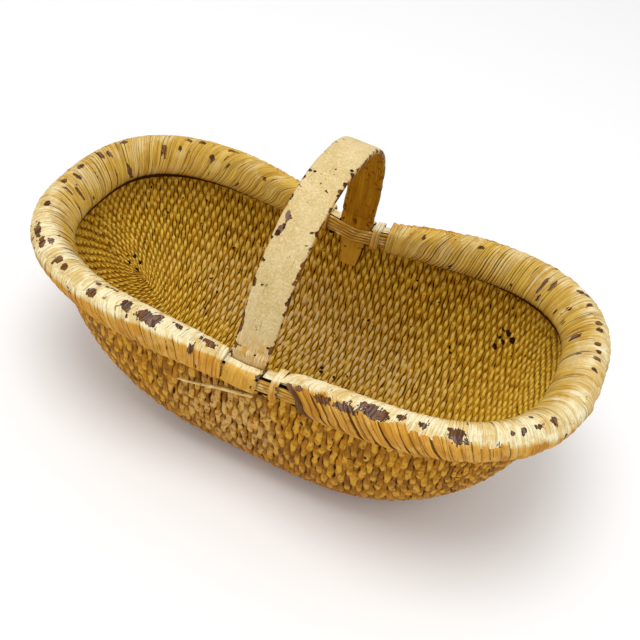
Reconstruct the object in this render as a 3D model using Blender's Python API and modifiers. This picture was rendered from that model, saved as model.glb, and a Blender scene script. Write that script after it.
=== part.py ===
"""Old willow gathering basket: a woven boat-shaped shell, a wrapped rim and a bentwood handle.

Metres, +Z up. +X runs along the basket, -Y is the near side, and the origin lies on the
ground under the middle of the basket.
"""

import math

import bmesh
import bpy
from mathutils import Vector

# Rim line: the centre line of the wrapped border, seen from above and from the side
RIM_HALF_LENGTH = 0.283
RIM_HALF_WIDTH = 0.1615
RIM_SQUARENESS = 2.7
RIM_HEIGHT = 0.163
RISE_LEFT = 0.019
RISE_RIGHT = 0.042
RISE_SOFTNESS = 0.055
RISE_POWER = 0.6
WAIST_DEPTH = 0.030
WAIST_REACH = 0.176

# Wrapped border: its section grows from the handle to the two ends, and leans out there
BORDER_WIDTH_AT_HANDLE = 0.0267
BORDER_WIDTH_AT_END = 0.0475
BORDER_DEPTH_AT_HANDLE = 0.024
BORDER_DEPTH_AT_END = 0.034
BORDER_LEAN_AT_END = math.radians(40.0)
BORDER_TAPER_REACH = 0.150
BORDER_TAPER_SHARE = 0.6
BORDER_SQUARENESS_AT_HANDLE = 4.0
BORDER_SQUARENESS_AT_END = 2.3
STRIP_THICKNESS = 0.0015
STRIP_WIDTH = 0.0195
STRIP_LAP_STEP = 0.0007
STRIP_LAP_LENGTH = 0.0004
STRIP_SLANT = 0.007
STRIP_SLANT_REACH = 0.025
OUTER_LIP_SHARE = 0.58

# Woven shell
WALL = 0.005
WALL_PLACE_SHARE = 0.436
WALL_LEAVES_BORDER_SHARE = 0.79
WALL_TOP_SHARE = 0.55
WEAVE_RELIEF = 0.0023
FLOOR_HALF_LENGTH = 0.125
FLOOR_SHIFT = 0.025
FLOOR_HALF_WIDTH = 0.068
BOWL_SQUARENESS_MIDDLE = 2.9
BOWL_SQUARENESS_END = 1.78

# Rods inside the border
ROD_DIAMETER = 0.0034
ROD_SLACK_AT_HANDLE = 0.0006
INNER_ROD_SLACK_AT_END = 0.0036
OUTER_ROD_SLACK_AT_END = 0.0016
ROD_PITCH = 0.0039
INNER_RODS = 5
OUTER_RODS = 4

# Handle: a flat strap bent over the waist, with a tapered tail inside each wall
HANDLE_X = -0.005
HANDLE_WIDTH = 0.0393
HANDLE_THICKNESS = 0.0072
HANDLE_FOOT_THICKNESS = 0.0054
HANDLE_HEIGHT = 0.1765
HANDLE_DRAW_IN = 0.0052
HANDLE_SQUARENESS = 2.37
HANDLE_LEAN = 0.009
HANDLE_EDGE = 0.0014
FOOT_STRAIGHT = 0.016
FOOT_EASE = 0.045
TAIL_LENGTH = 0.034
TAIL_WIDTH_AT_RIM = 0.033
TAIL_WIDTH_AT_TIP = 0.023
TAIL_POINT = 0.004
TAIL_FOLLOW = 1.5

# Flat strip laid along the top of the rods, under the wrapping
TOP_STRIP_WIDTH = 0.011
TOP_STRIP_THICKNESS = 0.0011

# Bindings beside and over each handle foot
FOOT_WRAP_GAP = 0.003
FOOT_WRAP_WIDTH = 0.0088
EXPOSED_ROD_LENGTH = 0.009
FOOT_COVER_MARGIN = 0.001
FOOT_COVER_TOP = 0.0008

# Loose end of a rod under the near border
LOOSE_ROD_DIAMETER = 0.0042
LOOSE_ROD_TIP_DIAMETER = 0.0022
LOOSE_ROD_START = 0.014
LOOSE_ROD_LENGTH = 0.085
LOOSE_ROD_DROP = 0.0075
LOOSE_ROD_DROP_AT_TIP = 0.019

# Plain colours of the pieces
WILLOW_COLOUR = (0.50, 0.33, 0.09)
STRIP_COLOUR = (0.75, 0.52, 0.20)
SHORT_STRIP_COLOUR = (0.78, 0.58, 0.27)
ROD_COLOUR = (0.62, 0.42, 0.15)
STRAP_COLOUR = (0.86, 0.74, 0.50)
LOOSE_ROD_COLOUR = (0.80, 0.66, 0.42)
ROUGHNESS = 0.65

# Clearances
GAP = 0.0003
LIP_GAP = 0.0009

# How finely the forms are divided
RIM_TABLE_STEPS = 1440
SHELL_STATIONS = 80
SHELL_RINGS = 12
FLOOR_RINGS = 2
PLAIN_TOP_RINGS = 2
WALL_COLUMN_STEPS = 240
ROD_STATIONS_PER_SIDE = 14
SECTION_POINTS = 10
HANDLE_ARCH_STATIONS = 30
SHORT_WRAP_STEPS = 3
TOP_STRIP_STEPS = 34
LOOSE_ROD_STEPS = 8
SHARP_EDGE = math.radians(35.0)
SHARP_EDGE_OF_WEAVE = math.radians(9.0)

UP = Vector((0.0, 0.0, 1.0))


def signed_power(value, power):
    """A power that keeps the sign, for squared-off ovals."""
    return math.copysign(abs(value) ** power, value)


def smooth(value):
    """A soft step from 0 to 1."""
    value = min(max(value, 0.0), 1.0)
    return value * value * (3.0 - 2.0 * value)


def mix(start, end, share):
    return start + (end - start) * share


def rim_point(angle):
    """The rim's centre line: a squared-off oval with a waist, rising from the handle to both ends."""
    x = RIM_HALF_LENGTH * signed_power(math.cos(angle), 2.0 / RIM_SQUARENESS)
    from_handle = x - HANDLE_X
    waist = WAIST_DEPTH * math.exp(-((from_handle / WAIST_REACH) ** 2))
    y = (RIM_HALF_WIDTH - waist) * signed_power(math.sin(angle), 2.0 / RIM_SQUARENESS)
    soft = math.hypot(from_handle, RISE_SOFTNESS) - RISE_SOFTNESS
    full = math.hypot(RIM_HALF_LENGTH, RISE_SOFTNESS) - RISE_SOFTNESS
    rise = RISE_LEFT if from_handle < 0.0 else RISE_RIGHT
    return Vector((x, y, RIM_HEIGHT + rise * (soft / full) ** RISE_POWER))


class RimLine:
    """The rim's centre line measured by its length, from the right end round the far side."""

    def __init__(self):
        turn = 2.0 * math.pi / RIM_TABLE_STEPS
        self.points = [rim_point(i * turn) for i in range(RIM_TABLE_STEPS + 1)]
        self.marks = [0.0]
        for a, b in zip(self.points, self.points[1:]):
            self.marks.append(self.marks[-1] + (b - a).length)
        self.length = self.marks[-1]
        self.far_handle = self.mark_at_x(HANDLE_X, 1.0)
        self.near_handle = self.mark_at_x(HANDLE_X, -1.0)

    def mark_at_x(self, x, side):
        """How far along the line it crosses x, on the far side (1) or the near side (-1)."""
        for i, (a, b) in enumerate(zip(self.points, self.points[1:])):
            if (a.x - x) * (b.x - x) <= 0.0 and a.y * side > 0.0:
                share = (x - a.x) / (b.x - a.x)
                return mix(self.marks[i], self.marks[i + 1], share)
        raise ValueError("the rim does not cross this x")

    def point(self, mark):
        mark %= self.length
        low, high = 0, RIM_TABLE_STEPS
        while high - low > 1:
            middle = (low + high) // 2
            if self.marks[middle] <= mark:
                low = middle
            else:
                high = middle
        share = (mark - self.marks[low]) / (self.marks[low + 1] - self.marks[low])
        return self.points[low].lerp(self.points[low + 1], share)


RIM = RimLine()
TANGENT_REACH = 0.004
OVAL_SIDE = 0.95


class Section:
    """The border's section at one mark: its centre, its two axes and its size there."""

    def __init__(self, mark):
        self.centre = RIM.point(mark)
        along = RIM.point(mark + TANGENT_REACH) - RIM.point(mark - TANGENT_REACH)
        self.outward = Vector((along.y, -along.x, 0.0)).normalized()
        from_handle = abs(self.centre.x - HANDLE_X)
        end_share = smooth(from_handle / RIM_HALF_LENGTH)
        self.growth = mix(
            end_share, smooth(from_handle / BORDER_TAPER_REACH), BORDER_TAPER_SHARE
        )
        self.half_width = mix(BORDER_WIDTH_AT_HANDLE, BORDER_WIDTH_AT_END, self.growth) / 2.0
        self.half_depth = mix(BORDER_DEPTH_AT_HANDLE, BORDER_DEPTH_AT_END, self.growth) / 2.0
        self.squareness = mix(
            BORDER_SQUARENESS_AT_HANDLE, BORDER_SQUARENESS_AT_END, self.growth
        )
        lean = BORDER_LEAN_AT_END * end_share
        self.rise = UP * math.cos(lean) + self.outward * math.sin(lean)
        self.across = self.outward * math.cos(lean) - UP * math.sin(lean)

    def at(self, up, out):
        """The point this far up and out from the section's centre."""
        return self.centre + self.rise * up + self.across * out

    def on_oval(self, angle, inset):
        """A point on the oval set in by this much; 0 is the top, a quarter turn is outside."""
        power = 2.0 / self.squareness
        up = (self.half_width - inset) * signed_power(math.cos(angle), power)
        out = (self.half_depth - inset) * signed_power(math.sin(angle), power)
        return self.at(up, out)

    def oval_reach(self, up, inset):
        """How far out the inset oval reaches, this far up from the centre."""
        place = min(abs(up) / (self.half_width - inset), 1.0)
        reach = (1.0 - place**self.squareness) ** (1.0 / self.squareness)
        return (self.half_depth - inset) * reach

    def angle_below(self, out):
        """The angle from straight down to where the oval has this reach."""
        share = min(max(out / self.half_depth, -OVAL_SIDE), OVAL_SIDE)
        return math.asin(signed_power(share, self.squareness / 2.0))

    def wall_out(self):
        """Where the shell's outer face runs through the border."""
        return WALL_PLACE_SHARE * self.half_depth


def rod_inset(section, slack_at_end):
    """How deep a rod's centre lies under the border's surface."""
    slack = mix(ROD_SLACK_AT_HANDLE, slack_at_end, section.growth)
    return STRIP_THICKNESS + GAP + ROD_DIAMETER / 2.0 + slack


def foot_faces():
    """The two faces of the handle's foot, measured out from the rim's centre line."""
    outer = Section(RIM.near_handle).wall_out() - WALL - GAP
    return outer - HANDLE_FOOT_THICKNESS, outer


def foot_seat(section):
    """Where the inner rods cross the handle's foot, straight over its flat face."""
    bow = abs(section.centre.y) - abs(RIM.point(RIM.near_handle).y)
    return foot_faces()[0] - GAP - ROD_DIAMETER / 2.0 - bow


def wall_point(mark, depth_share):
    """A point on the shell's outer face, from the border (0) to the edge of the floor (1)."""
    section = Section(mark)
    top = section.at(-WALL_LEAVES_BORDER_SHARE * section.half_width, section.wall_out())
    end_share = min(abs(top.x) / RIM_HALF_LENGTH, 1.0)
    floor_x = FLOOR_SHIFT + FLOOR_HALF_LENGTH * top.x / RIM_HALF_LENGTH
    floor_y = FLOOR_HALF_WIDTH * top.y / RIM_HALF_WIDTH
    squareness = mix(BOWL_SQUARENESS_MIDDLE, BOWL_SQUARENESS_END, smooth(end_share))
    fall = min(max(depth_share, 0.0), 1.0)
    spread = (1.0 - fall**squareness) ** (1.0 / squareness)
    return Vector((mix(floor_x, top.x, spread), mix(floor_y, top.y, spread), top.z * (1.0 - fall)))


def wall_column(mark):
    """Points down the shell's outer face, evenly from inside the border and on over the floor."""
    section = Section(mark)
    steps = WALL_COLUMN_STEPS
    angles = [0.5 * math.pi * i / steps for i in range(steps + 1)]
    fine = [wall_point(mark, math.sin(a)) for a in angles]
    marks = [0.0]
    for a, b in zip(fine, fine[1:]):
        marks.append(marks[-1] + (b - a).length)
    column = [section.at(WALL_TOP_SHARE * section.half_width, section.wall_out())]
    index = 0
    for ring in range(SHELL_RINGS):
        wanted = marks[-1] * ring / (SHELL_RINGS - 1)
        while index < steps - 1 and marks[index + 1] < wanted:
            index += 1
        share = (wanted - marks[index]) / (marks[index + 1] - marks[index])
        column.append(fine[index].lerp(fine[index + 1], min(share, 1.0)))
    floor_edge, floor_middle = column[-1], Vector((FLOOR_SHIFT, 0.0, 0.0))
    for ring in range(1, FLOOR_RINGS + 1):
        column.append(floor_edge.lerp(floor_middle, ring / (FLOOR_RINGS + 1)))
    return column


def material(name, colour):
    made = bpy.data.materials.new(name)
    made.use_nodes = True
    shader = made.node_tree.nodes["Principled BSDF"]
    shader.inputs["Base Color"].default_value = (*colour, 1.0)
    shader.inputs["Roughness"].default_value = ROUGHNESS
    shader.inputs["Metallic"].default_value = 0.0
    return made


def finish_object(name, data, collection, colour):
    """Links one piece into the basket's collection with its own material."""
    made = bpy.data.objects.new(name, data)
    collection.objects.link(made)
    data.materials.append(material(name, colour))
    return made


def mesh_from(name, build, sharp_edge=SHARP_EDGE):
    """A smooth-shaded mesh made by a function that fills a bmesh."""
    body = bmesh.new()
    build(body)
    bmesh.ops.recalc_face_normals(body, faces=body.faces)
    data = bpy.data.meshes.new(name)
    body.to_mesh(data)
    body.free()
    data.shade_smooth()
    data.set_sharp_from_angle(angle=sharp_edge)
    return data


def skin_rings(body, rings, ring_closes, path_closes):
    """Joins rings of equally many points with faces. Returns the rings' vertices."""
    made = [[body.verts.new(p) for p in ring] for ring in rings]
    pairs = list(zip(made, made[1:]))
    if path_closes:
        pairs.append((made[-1], made[0]))
    for a, b in pairs:
        count = len(a)
        for i in range(count if ring_closes else count - 1):
            j = (i + 1) % count
            body.faces.new((a[i], a[j], b[j], b[i]))
    return made


def closed_loft(name, rings):
    """A solid through closed rings, with a flat cap at each end."""

    def build(body):
        made = skin_rings(body, rings, ring_closes=True, path_closes=False)
        body.faces.new(made[0])
        body.faces.new(list(reversed(made[-1])))

    return mesh_from(name, build)


def weave(body, columns):
    """Sets every second point of the shell in, and folds its faces there like coarse weaving."""
    hollows = []
    for i, column in enumerate(columns):
        woven = column[PLAIN_TOP_RINGS:-1]
        hollows += [vertex for j, vertex in enumerate(woven) if (i + j) % 2 == 1]
    for vertex in hollows:
        vertex.co -= vertex.normal * WEAVE_RELIEF
    bmesh.ops.connect_verts(body, verts=hollows)


def make_shell(collection):
    """The woven bowl: its outer face as an open surface, thickened inwards.

    It is as thick as the whole wall inside the border, and a thinner bulging sheet below.
    """

    def build(body):
        marks = [RIM.length * i / SHELL_STATIONS for i in range(SHELL_STATIONS)]
        columns = [wall_column(mark) for mark in marks]
        made = skin_rings(body, columns, ring_closes=False, path_closes=True)
        body.faces.new([column[-1] for column in made])
        bmesh.ops.recalc_face_normals(body, faces=body.faces)
        body.normal_update()
        weave(body, made)

    data = mesh_from("woven_shell", build, SHARP_EDGE_OF_WEAVE)
    shell = finish_object("woven_shell", data, collection, WILLOW_COLOUR)
    thickness = shell.vertex_groups.new(name="thickness")
    column_length = len(data.vertices) // SHELL_STATIONS
    for index in range(len(data.vertices)):
        inside_border = index % column_length < PLAIN_TOP_RINGS
        thickness.add([index], 1.0 if inside_border else 1.0 - WEAVE_RELIEF / WALL, "REPLACE")
    thicken = shell.modifiers.new("Wall", "SOLIDIFY")
    thicken.thickness = WALL
    thicken.offset = -1.0
    thicken.use_even_offset = True
    thicken.vertex_group = thickness.name


def strip_ring(mark, lift, start, end, slant):
    """One closed section of a wrapped strip: its outer face and back along its inner face.

    start and end turn a section into the angles where the strip begins and ends.
    """
    here = Section(mark)
    first, last = start(here), end(here)
    outer, inner = [], []
    for i in range(SECTION_POINTS):
        angle = mix(first, last, i / (SECTION_POINTS - 1))
        section = Section(mark + slant * angle / math.pi)
        outer.append(section.on_oval(angle, -lift))
        inner.append(section.on_oval(angle, STRIP_THICKNESS))
    return outer + list(reversed(inner))


def inner_lip(section):
    """Where a wrap starts: under the border, against the shell's inner face."""
    return -math.pi - section.angle_below(section.wall_out() - WALL - LIP_GAP)


def outer_lip(section):
    """Where a wrap ends: under the border's outer edge."""
    return math.pi - section.angle_below(OUTER_LIP_SHARE * section.half_depth)


def cover_top(section):
    """Where a foot cover starts: on top of the border, just outside the handle."""
    return math.asin(signed_power(FOOT_COVER_TOP / section.half_depth, section.squareness / 2.0))


def make_border_wrap(name, start_mark, end_mark, collection):
    """Flat strips wound side by side round the rods, each lapping over the one before.

    They slant round the border, but stand upright at both ends.
    """
    length = end_mark - start_mark
    strips = max(2, round(length / STRIP_WIDTH))
    pitch = length / strips
    rings = []
    for i in range(strips):
        begin = start_mark + i * pitch
        end = begin + pitch - STRIP_LAP_LENGTH
        if i == strips - 1:
            end = end_mark
        for mark, lift in ((begin, 0.0), (end, STRIP_LAP_STEP)):
            from_end = min(mark - start_mark, end_mark - mark)
            slant = STRIP_SLANT * smooth(from_end / STRIP_SLANT_REACH)
            rings.append(strip_ring(mark, lift, inner_lip, outer_lip, slant))
    finish_object(name, closed_loft(name, rings), collection, STRIP_COLOUR)


def make_short_wrap(name, centre_mark, width, start, collection):
    """A single upright binding, or the cover over a handle foot."""
    steps = SHORT_WRAP_STEPS
    marks = [centre_mark + width * (i / steps - 0.5) for i in range(steps + 1)]
    rings = [strip_ring(mark, 0.0, start, outer_lip, 0.0) for mark in marks]
    finish_object(name, closed_loft(name, rings), collection, SHORT_STRIP_COLOUR)


def border_start(bare_rods):
    """How far from the handle's middle the wrapped border starts, past the upright wrap."""
    beside = HANDLE_WIDTH / 2.0 + FOOT_WRAP_GAP
    return beside + FOOT_WRAP_WIDTH + bare_rods + GAP


def rod_marks():
    """Where the rods have a point: close together at the handle, wide apart elsewhere."""
    beside = HANDLE_WIDTH / 2.0
    near_handle = (0.0, beside, beside + FOOT_WRAP_GAP, border_start(EXPOSED_ROD_LENGTH))
    marks = []
    for handle, other in (
        (RIM.far_handle, RIM.near_handle),
        (RIM.near_handle, RIM.far_handle + RIM.length),
    ):
        marks += [handle + d for d in near_handle]
        first, last = marks[-1], other - near_handle[-1]
        steps = ROD_STATIONS_PER_SIDE
        marks += [mix(first, last, i / steps) for i in range(1, steps)]
        marks += [other - d for d in reversed(near_handle[1:])]
    return marks


def make_rod(name, up, side, collection):
    """A willow rod that runs right round inside the border."""
    seat_end = (HANDLE_WIDTH + FOOT_WRAP_GAP) / 2.0
    slack_at_end = INNER_ROD_SLACK_AT_END if side < 0.0 else OUTER_ROD_SLACK_AT_END
    spline_points = []
    for mark in rod_marks():
        section = Section(mark)
        inset = rod_inset(section, slack_at_end)
        out = side * section.oval_reach(up, inset)
        if side < 0.0 and abs(section.centre.x - HANDLE_X) < seat_end:
            out = foot_seat(section)
        spline_points.append(section.at(up, out))
    curve = bpy.data.curves.new(name, "CURVE")
    curve.dimensions = "3D"
    curve.bevel_depth = ROD_DIAMETER / 2.0
    curve.bevel_resolution = 1
    spline = curve.splines.new("POLY")
    spline.points.add(len(spline_points) - 1)
    for point, place_on_rim in zip(spline.points, spline_points):
        point.co = (*place_on_rim, 1.0)
    spline.use_cyclic_u = True
    finish_object(name, curve, collection, ROD_COLOUR)


def strap_ring(centre, width_axis, depth_axis, width, depth):
    """The strap's section: a flat bar with its long edges eased."""
    half_width, half_depth = width / 2.0, depth / 2.0
    edge = HANDLE_EDGE
    corners = (
        (half_width, half_depth - edge),
        (half_width - edge, half_depth),
        (edge - half_width, half_depth),
        (-half_width, half_depth - edge),
        (-half_width, edge - half_depth),
        (edge - half_width, -half_depth),
        (half_width - edge, -half_depth),
        (half_width, edge - half_depth),
    )
    return [centre + width_axis * a + depth_axis * b for a, b in corners]


def wall_shift(z):
    """How far the shell's wall has come in towards the middle at this height by the handle."""
    top = wall_point(RIM.near_handle, 0.0)
    here = wall_point(RIM.near_handle, 1.0 - z / top.z)
    return (abs(top.y) - abs(here.y)) * TAIL_FOLLOW


def handle_stations():
    """The handle's centre line from the near tail's tip over the arch to the far tail's tip.

    Each station is its centre, its width and its thickness.
    """
    inner, outer = foot_faces()
    rim_y = abs(RIM.point(RIM.near_handle).y)
    foot_y = rim_y + (inner + outer) / 2.0
    section = Section(RIM.near_handle)
    under_rim = RIM_HEIGHT - section.half_width
    over_rim = RIM_HEIGHT + section.half_width
    tip_z = under_rim - TAIL_LENGTH
    foot = [
        (tip_z, TAIL_WIDTH_AT_TIP - 2.0 * TAIL_POINT),
        (tip_z + TAIL_POINT, TAIL_WIDTH_AT_TIP),
        (under_rim, TAIL_WIDTH_AT_RIM),
        (over_rim, HANDLE_WIDTH),
    ]
    stations = []
    for z, width in foot:
        y = foot_y - wall_shift(z)
        stations.append((Vector((HANDLE_X, -y, z)), width, HANDLE_FOOT_THICKNESS))
    arch = []
    start = over_rim + FOOT_STRAIGHT - RIM_HEIGHT
    first = math.asin((start / HANDLE_HEIGHT) ** (HANDLE_SQUARENESS / 2.0))
    for i in range(HANDLE_ARCH_STATIONS + 1):
        angle = mix(first, math.pi - first, i / HANDLE_ARCH_STATIONS)
        lift = abs(math.sin(angle)) ** (2.0 / HANDLE_SQUARENESS)
        span = signed_power(math.cos(angle), 2.0 / HANDLE_SQUARENESS)
        height = HANDLE_HEIGHT * lift
        ease = smooth((height - (over_rim - RIM_HEIGHT)) / FOOT_EASE)
        reach = foot_y - HANDLE_DRAW_IN * ease
        centre = Vector((HANDLE_X + HANDLE_LEAN * lift * ease, -reach * span, RIM_HEIGHT + height))
        thickness = mix(HANDLE_FOOT_THICKNESS, HANDLE_THICKNESS, ease)
        arch.append((centre, HANDLE_WIDTH, thickness))
    stations += arch
    stations += [(Vector((c.x, -c.y, c.z)), w, t) for c, w, t in reversed(stations[:4])]
    return stations


def make_handle(collection):
    """The bentwood strap, lofted along its bend with both tails."""
    stations = handle_stations()
    width_axis = Vector((1.0, 0.0, 0.0))
    rings = []
    for i, (centre, width, thickness) in enumerate(stations):
        before = stations[max(i - 1, 0)][0]
        after = stations[min(i + 1, len(stations) - 1)][0]
        along = after - before
        depth_axis = Vector((0.0, -along.z, along.y)).normalized()
        rings.append(strap_ring(centre, width_axis, depth_axis, width, thickness))
    finish_object("handle_bow", closed_loft("handle_bow", rings), collection, STRAP_COLOUR)


def make_loose_rod(collection):
    """The end of a rod that lies along the shell under the near border and stands off at its tip."""
    steps = LOOSE_ROD_STEPS
    radius = LOOSE_ROD_DIAMETER / 2.0
    curve = bpy.data.curves.new("loose_rod_end", "CURVE")
    curve.dimensions = "3D"
    curve.bevel_depth = radius
    curve.bevel_resolution = 2
    curve.use_fill_caps = True
    spline = curve.splines.new("POLY")
    spline.points.add(steps)
    for i, point in enumerate(spline.points):
        share = i / steps
        mark = RIM.near_handle + LOOSE_ROD_START - share * LOOSE_ROD_LENGTH
        section = Section(mark)
        drop = mix(LOOSE_ROD_DROP, LOOSE_ROD_DROP_AT_TIP, share)
        top = section.at(-WALL_LEAVES_BORDER_SHARE * section.half_width, section.wall_out())
        on_wall = wall_point(mark, drop / top.z)
        centre = on_wall + section.outward * (radius + 2.0 * GAP)
        point.co = (*centre, 1.0)
        point.radius = mix(1.0, LOOSE_ROD_TIP_DIAMETER / LOOSE_ROD_DIAMETER, smooth(share))
    finish_object("loose_rod_end", curve, collection, LOOSE_ROD_COLOUR)


def make_foot_bindings(collection):
    """At each handle foot: an upright wrap on either side, and a flat cover over the outer rods.

    Along the rim, the wrap before a handle stands beside it. The one after it stands against the
    border, and the rods are bare in between.
    """
    before = HANDLE_WIDTH / 2.0 + FOOT_WRAP_GAP + FOOT_WRAP_WIDTH / 2.0
    after = before + EXPOSED_ROD_LENGTH
    cover_width = HANDLE_WIDTH - 2.0 * FOOT_COVER_MARGIN
    sides = (
        ("near", RIM.near_handle, "left", "right"),
        ("far", RIM.far_handle, "right", "left"),
    )
    for side, handle, name_before, name_after in sides:
        for name, mark in ((name_before, handle - before), (name_after, handle + after)):
            make_short_wrap(
                f"foot_wrap_{side}_{name}", mark, FOOT_WRAP_WIDTH, inner_lip, collection
            )
        make_short_wrap(f"foot_cover_{side}", handle, cover_width, cover_top, collection)


def make_border(collection):
    """The two long wraps, one round each end of the basket."""
    away = border_start(EXPOSED_ROD_LENGTH)
    left_end = RIM.near_handle - border_start(0.0)
    make_border_wrap("border_wrap_left", RIM.far_handle + away, left_end, collection)
    right_end = RIM.far_handle + RIM.length - away
    make_border_wrap("border_wrap_right", RIM.near_handle + away, right_end, collection)


def make_top_strip(name, start_mark, end_mark, collection):
    """A flat strip that bridges the two stacks of rods, and rides on the shell's edge at the ends."""
    rods_top = (INNER_RODS - 1) / 2.0 * ROD_PITCH + ROD_DIAMETER / 2.0
    half = TOP_STRIP_WIDTH / 2.0
    rings = []
    for i in range(TOP_STRIP_STEPS + 1):
        section = Section(mix(start_mark, end_mark, i / TOP_STRIP_STEPS))
        shell_top = WALL_TOP_SHARE * section.half_width
        low = max(rods_top + GAP, shell_top + 2.0 * GAP)
        high = low + TOP_STRIP_THICKNESS
        corners = ((low, -half), (low, half), (high, half), (high, -half))
        rings.append([section.at(up, out) for up, out in corners])
    finish_object(name, closed_loft(name, rings), collection, STRIP_COLOUR)


def make_top_strips(collection):
    """One top strip through each border, from handle foot to handle foot."""
    away = HANDLE_WIDTH / 2.0 + GAP
    near, far = RIM.near_handle, RIM.far_handle
    make_top_strip("rim_top_strip_left", far + away, near - away, collection)
    make_top_strip("rim_top_strip_right", near + away, far + RIM.length - away, collection)


def make_rods(collection):
    """Two stacks of rods, one on either side of the shell's top edge."""
    for kind, count, side in (("inner", INNER_RODS, -1.0), ("outer", OUTER_RODS, 1.0)):
        for i in range(count):
            up = (i - (count - 1) / 2.0) * ROD_PITCH
            make_rod(f"{kind}_rim_rod_{i + 1}", up, side, collection)


def main():
    for old in list(bpy.data.objects):
        bpy.data.objects.remove(old)
    basket = bpy.data.collections.new("harvest_basket")
    bpy.context.scene.collection.children.link(basket)
    make_shell(basket)
    make_rods(basket)
    make_border(basket)
    make_foot_bindings(basket)
    make_top_strips(basket)
    make_handle(basket)
    make_loose_rod(basket)


main()
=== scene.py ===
"""Old willow gathering basket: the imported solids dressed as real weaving, wrapped strips and paint.

Metres, +Z up. +X runs along the basket, -Y is the near side, and the ground is z = 0. A mark is a
distance along the rim's centre line, from the right end round the far side. An angle runs round
the border's section: 0 is the top, a quarter turn is outside, minus a quarter turn is inside.
"""

from math import asin, hypot, pi, radians, sin, sqrt

import bpy
import numpy as np
from mathutils import Matrix, Vector

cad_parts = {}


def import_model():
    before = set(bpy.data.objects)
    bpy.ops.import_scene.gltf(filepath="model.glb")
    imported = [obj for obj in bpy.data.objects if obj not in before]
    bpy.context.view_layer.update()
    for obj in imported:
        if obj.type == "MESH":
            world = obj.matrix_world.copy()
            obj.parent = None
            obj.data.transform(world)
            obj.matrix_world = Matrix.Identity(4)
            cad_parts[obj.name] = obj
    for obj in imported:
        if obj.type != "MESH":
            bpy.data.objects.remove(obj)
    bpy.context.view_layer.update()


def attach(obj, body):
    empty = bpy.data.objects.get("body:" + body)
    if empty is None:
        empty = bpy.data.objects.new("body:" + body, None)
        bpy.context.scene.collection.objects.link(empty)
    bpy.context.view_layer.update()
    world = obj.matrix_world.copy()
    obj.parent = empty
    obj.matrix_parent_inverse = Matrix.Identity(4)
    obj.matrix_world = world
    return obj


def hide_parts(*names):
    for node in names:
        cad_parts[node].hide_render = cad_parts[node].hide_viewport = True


SEED = 41
MM = 0.001

# Rim line
RIM_HALF_LENGTH = 0.283
RIM_HALF_WIDTH = 0.1615
RIM_SQUARENESS = 2.7
RIM_HEIGHT = 0.163
RISE_LEFT = 0.019
RISE_RIGHT = 0.042
RISE_SOFTNESS = 0.055
RISE_POWER = 0.6
WAIST_DEPTH = 0.030
WAIST_REACH = 0.176
RIM_STEPS = 1440
TANGENT_REACH = 0.004

# Border section: a pair is for the handle and the ends
BORDER_WIDTH = (0.0267, 0.0475)
BORDER_DEPTH = (0.024, 0.034)
BORDER_SQUARENESS = (4, 2.3)
BORDER_LEAN_AT_END = radians(40)
BORDER_TAPER_REACH = 0.150
BORDER_TAPER_SHARE = 0.6
OVAL_SIDE = 0.95
OUTER_LIP_SHARE = 0.58
LIP_GAP = 0.0009
GAP = 0.0003

# Shell
WALL = 0.005
WALL_PLACE_SHARE = 0.436
WALL_LEAVES_BORDER_SHARE = 0.79
WALL_TOP_SHARE = 0.55
FLOOR_HALF_LENGTH = 0.125
FLOOR_SHIFT = 0.025
FLOOR_HALF_WIDTH = 0.068
BOWL_SQUARENESS = (2.9, 1.78)
HALF_STEPS = 2048

# Rods
ROD_DIAMETER = 0.0034
INNER_ROD_SLACK = (0.0006, 0.0036)
OUTER_ROD_SLACK = (0.0006, 0.0016)
ROD_PITCH = 0.0039
INNER_RODS = 5
OUTER_RODS = 4
ROD_STATIONS = 520
ROD_UNEVENNESS = 0.02
STRIP_THICKNESS = 0.0015

# Handle
HANDLE_X = -0.005
HANDLE_WIDTH = 0.0393
HANDLE_HALF = HANDLE_WIDTH / 2
HANDLE_THICKNESS = 0.0072
HANDLE_FOOT_THICKNESS = 0.0054
HANDLE_HEIGHT = 0.1765
HANDLE_DRAW_IN = 0.0052
HANDLE_SQUARENESS = 2.37
HANDLE_LEAN = 0.009
HANDLE_ROWS = 380
FOOT_ROWS = 26
STRAIGHT_ROWS = 7
ARCH_ROWS = 56
HANDLE_COLUMNS = 25
HANDLE_FACE_FLATNESS = 7
HANDLE_EDGE_POWER = 1 / 3.2
HANDLE_EDGE_WEAR_POWER = 10
FOOT_STRAIGHT = 0.016
FOOT_EASE = 0.045
TAIL_LENGTH = 0.034
TAIL_WIDTH_AT_RIM = 0.033
TAIL_WIDTH_AT_TIP = 0.023
TAIL_POINT = 0.004
TAIL_TIP_SHARE = 0.55
TAIL_TIP_STEPS = np.array([0, 0.0007, 0.002])
TAIL_FOLLOW = 1.5
TAIL_FOLLOW_TOP = 0.01
TAIL_FADE = 0.02
CAP_SHARES = np.array([0.02, 0.3, 0.6, 0.9])
NICK_SPOTS = 90
NICK_DEPTH = 0.0009
WEATHERED_TOP = 0.050
WEATHERED_FADE = 0.035

# Bindings at the feet
FOOT_WRAP_GAP = 0.003
FOOT_WRAP_WIDTH = 0.0088
EXPOSED_ROD_LENGTH = 0.009
FOOT_COVER_MARGIN = 0.001
FOOT_COVER_TOP = 0.0008

# Loose rod end
LOOSE_DIAMETER = (0.0042, 0.0022)
LOOSE_START = 0.014
LOOSE_LENGTH = 0.085
LOOSE_DROP = (0.0075, 0.019)
LOOSE_SAG = 0.012
LOOSE_STEPS = 60
LOOSE_KNOT_SHARE = 0.05
LOOSE_KNOT_BEAT = 37
LOOSE_CAP_RADIUS = 0.0002

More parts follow.
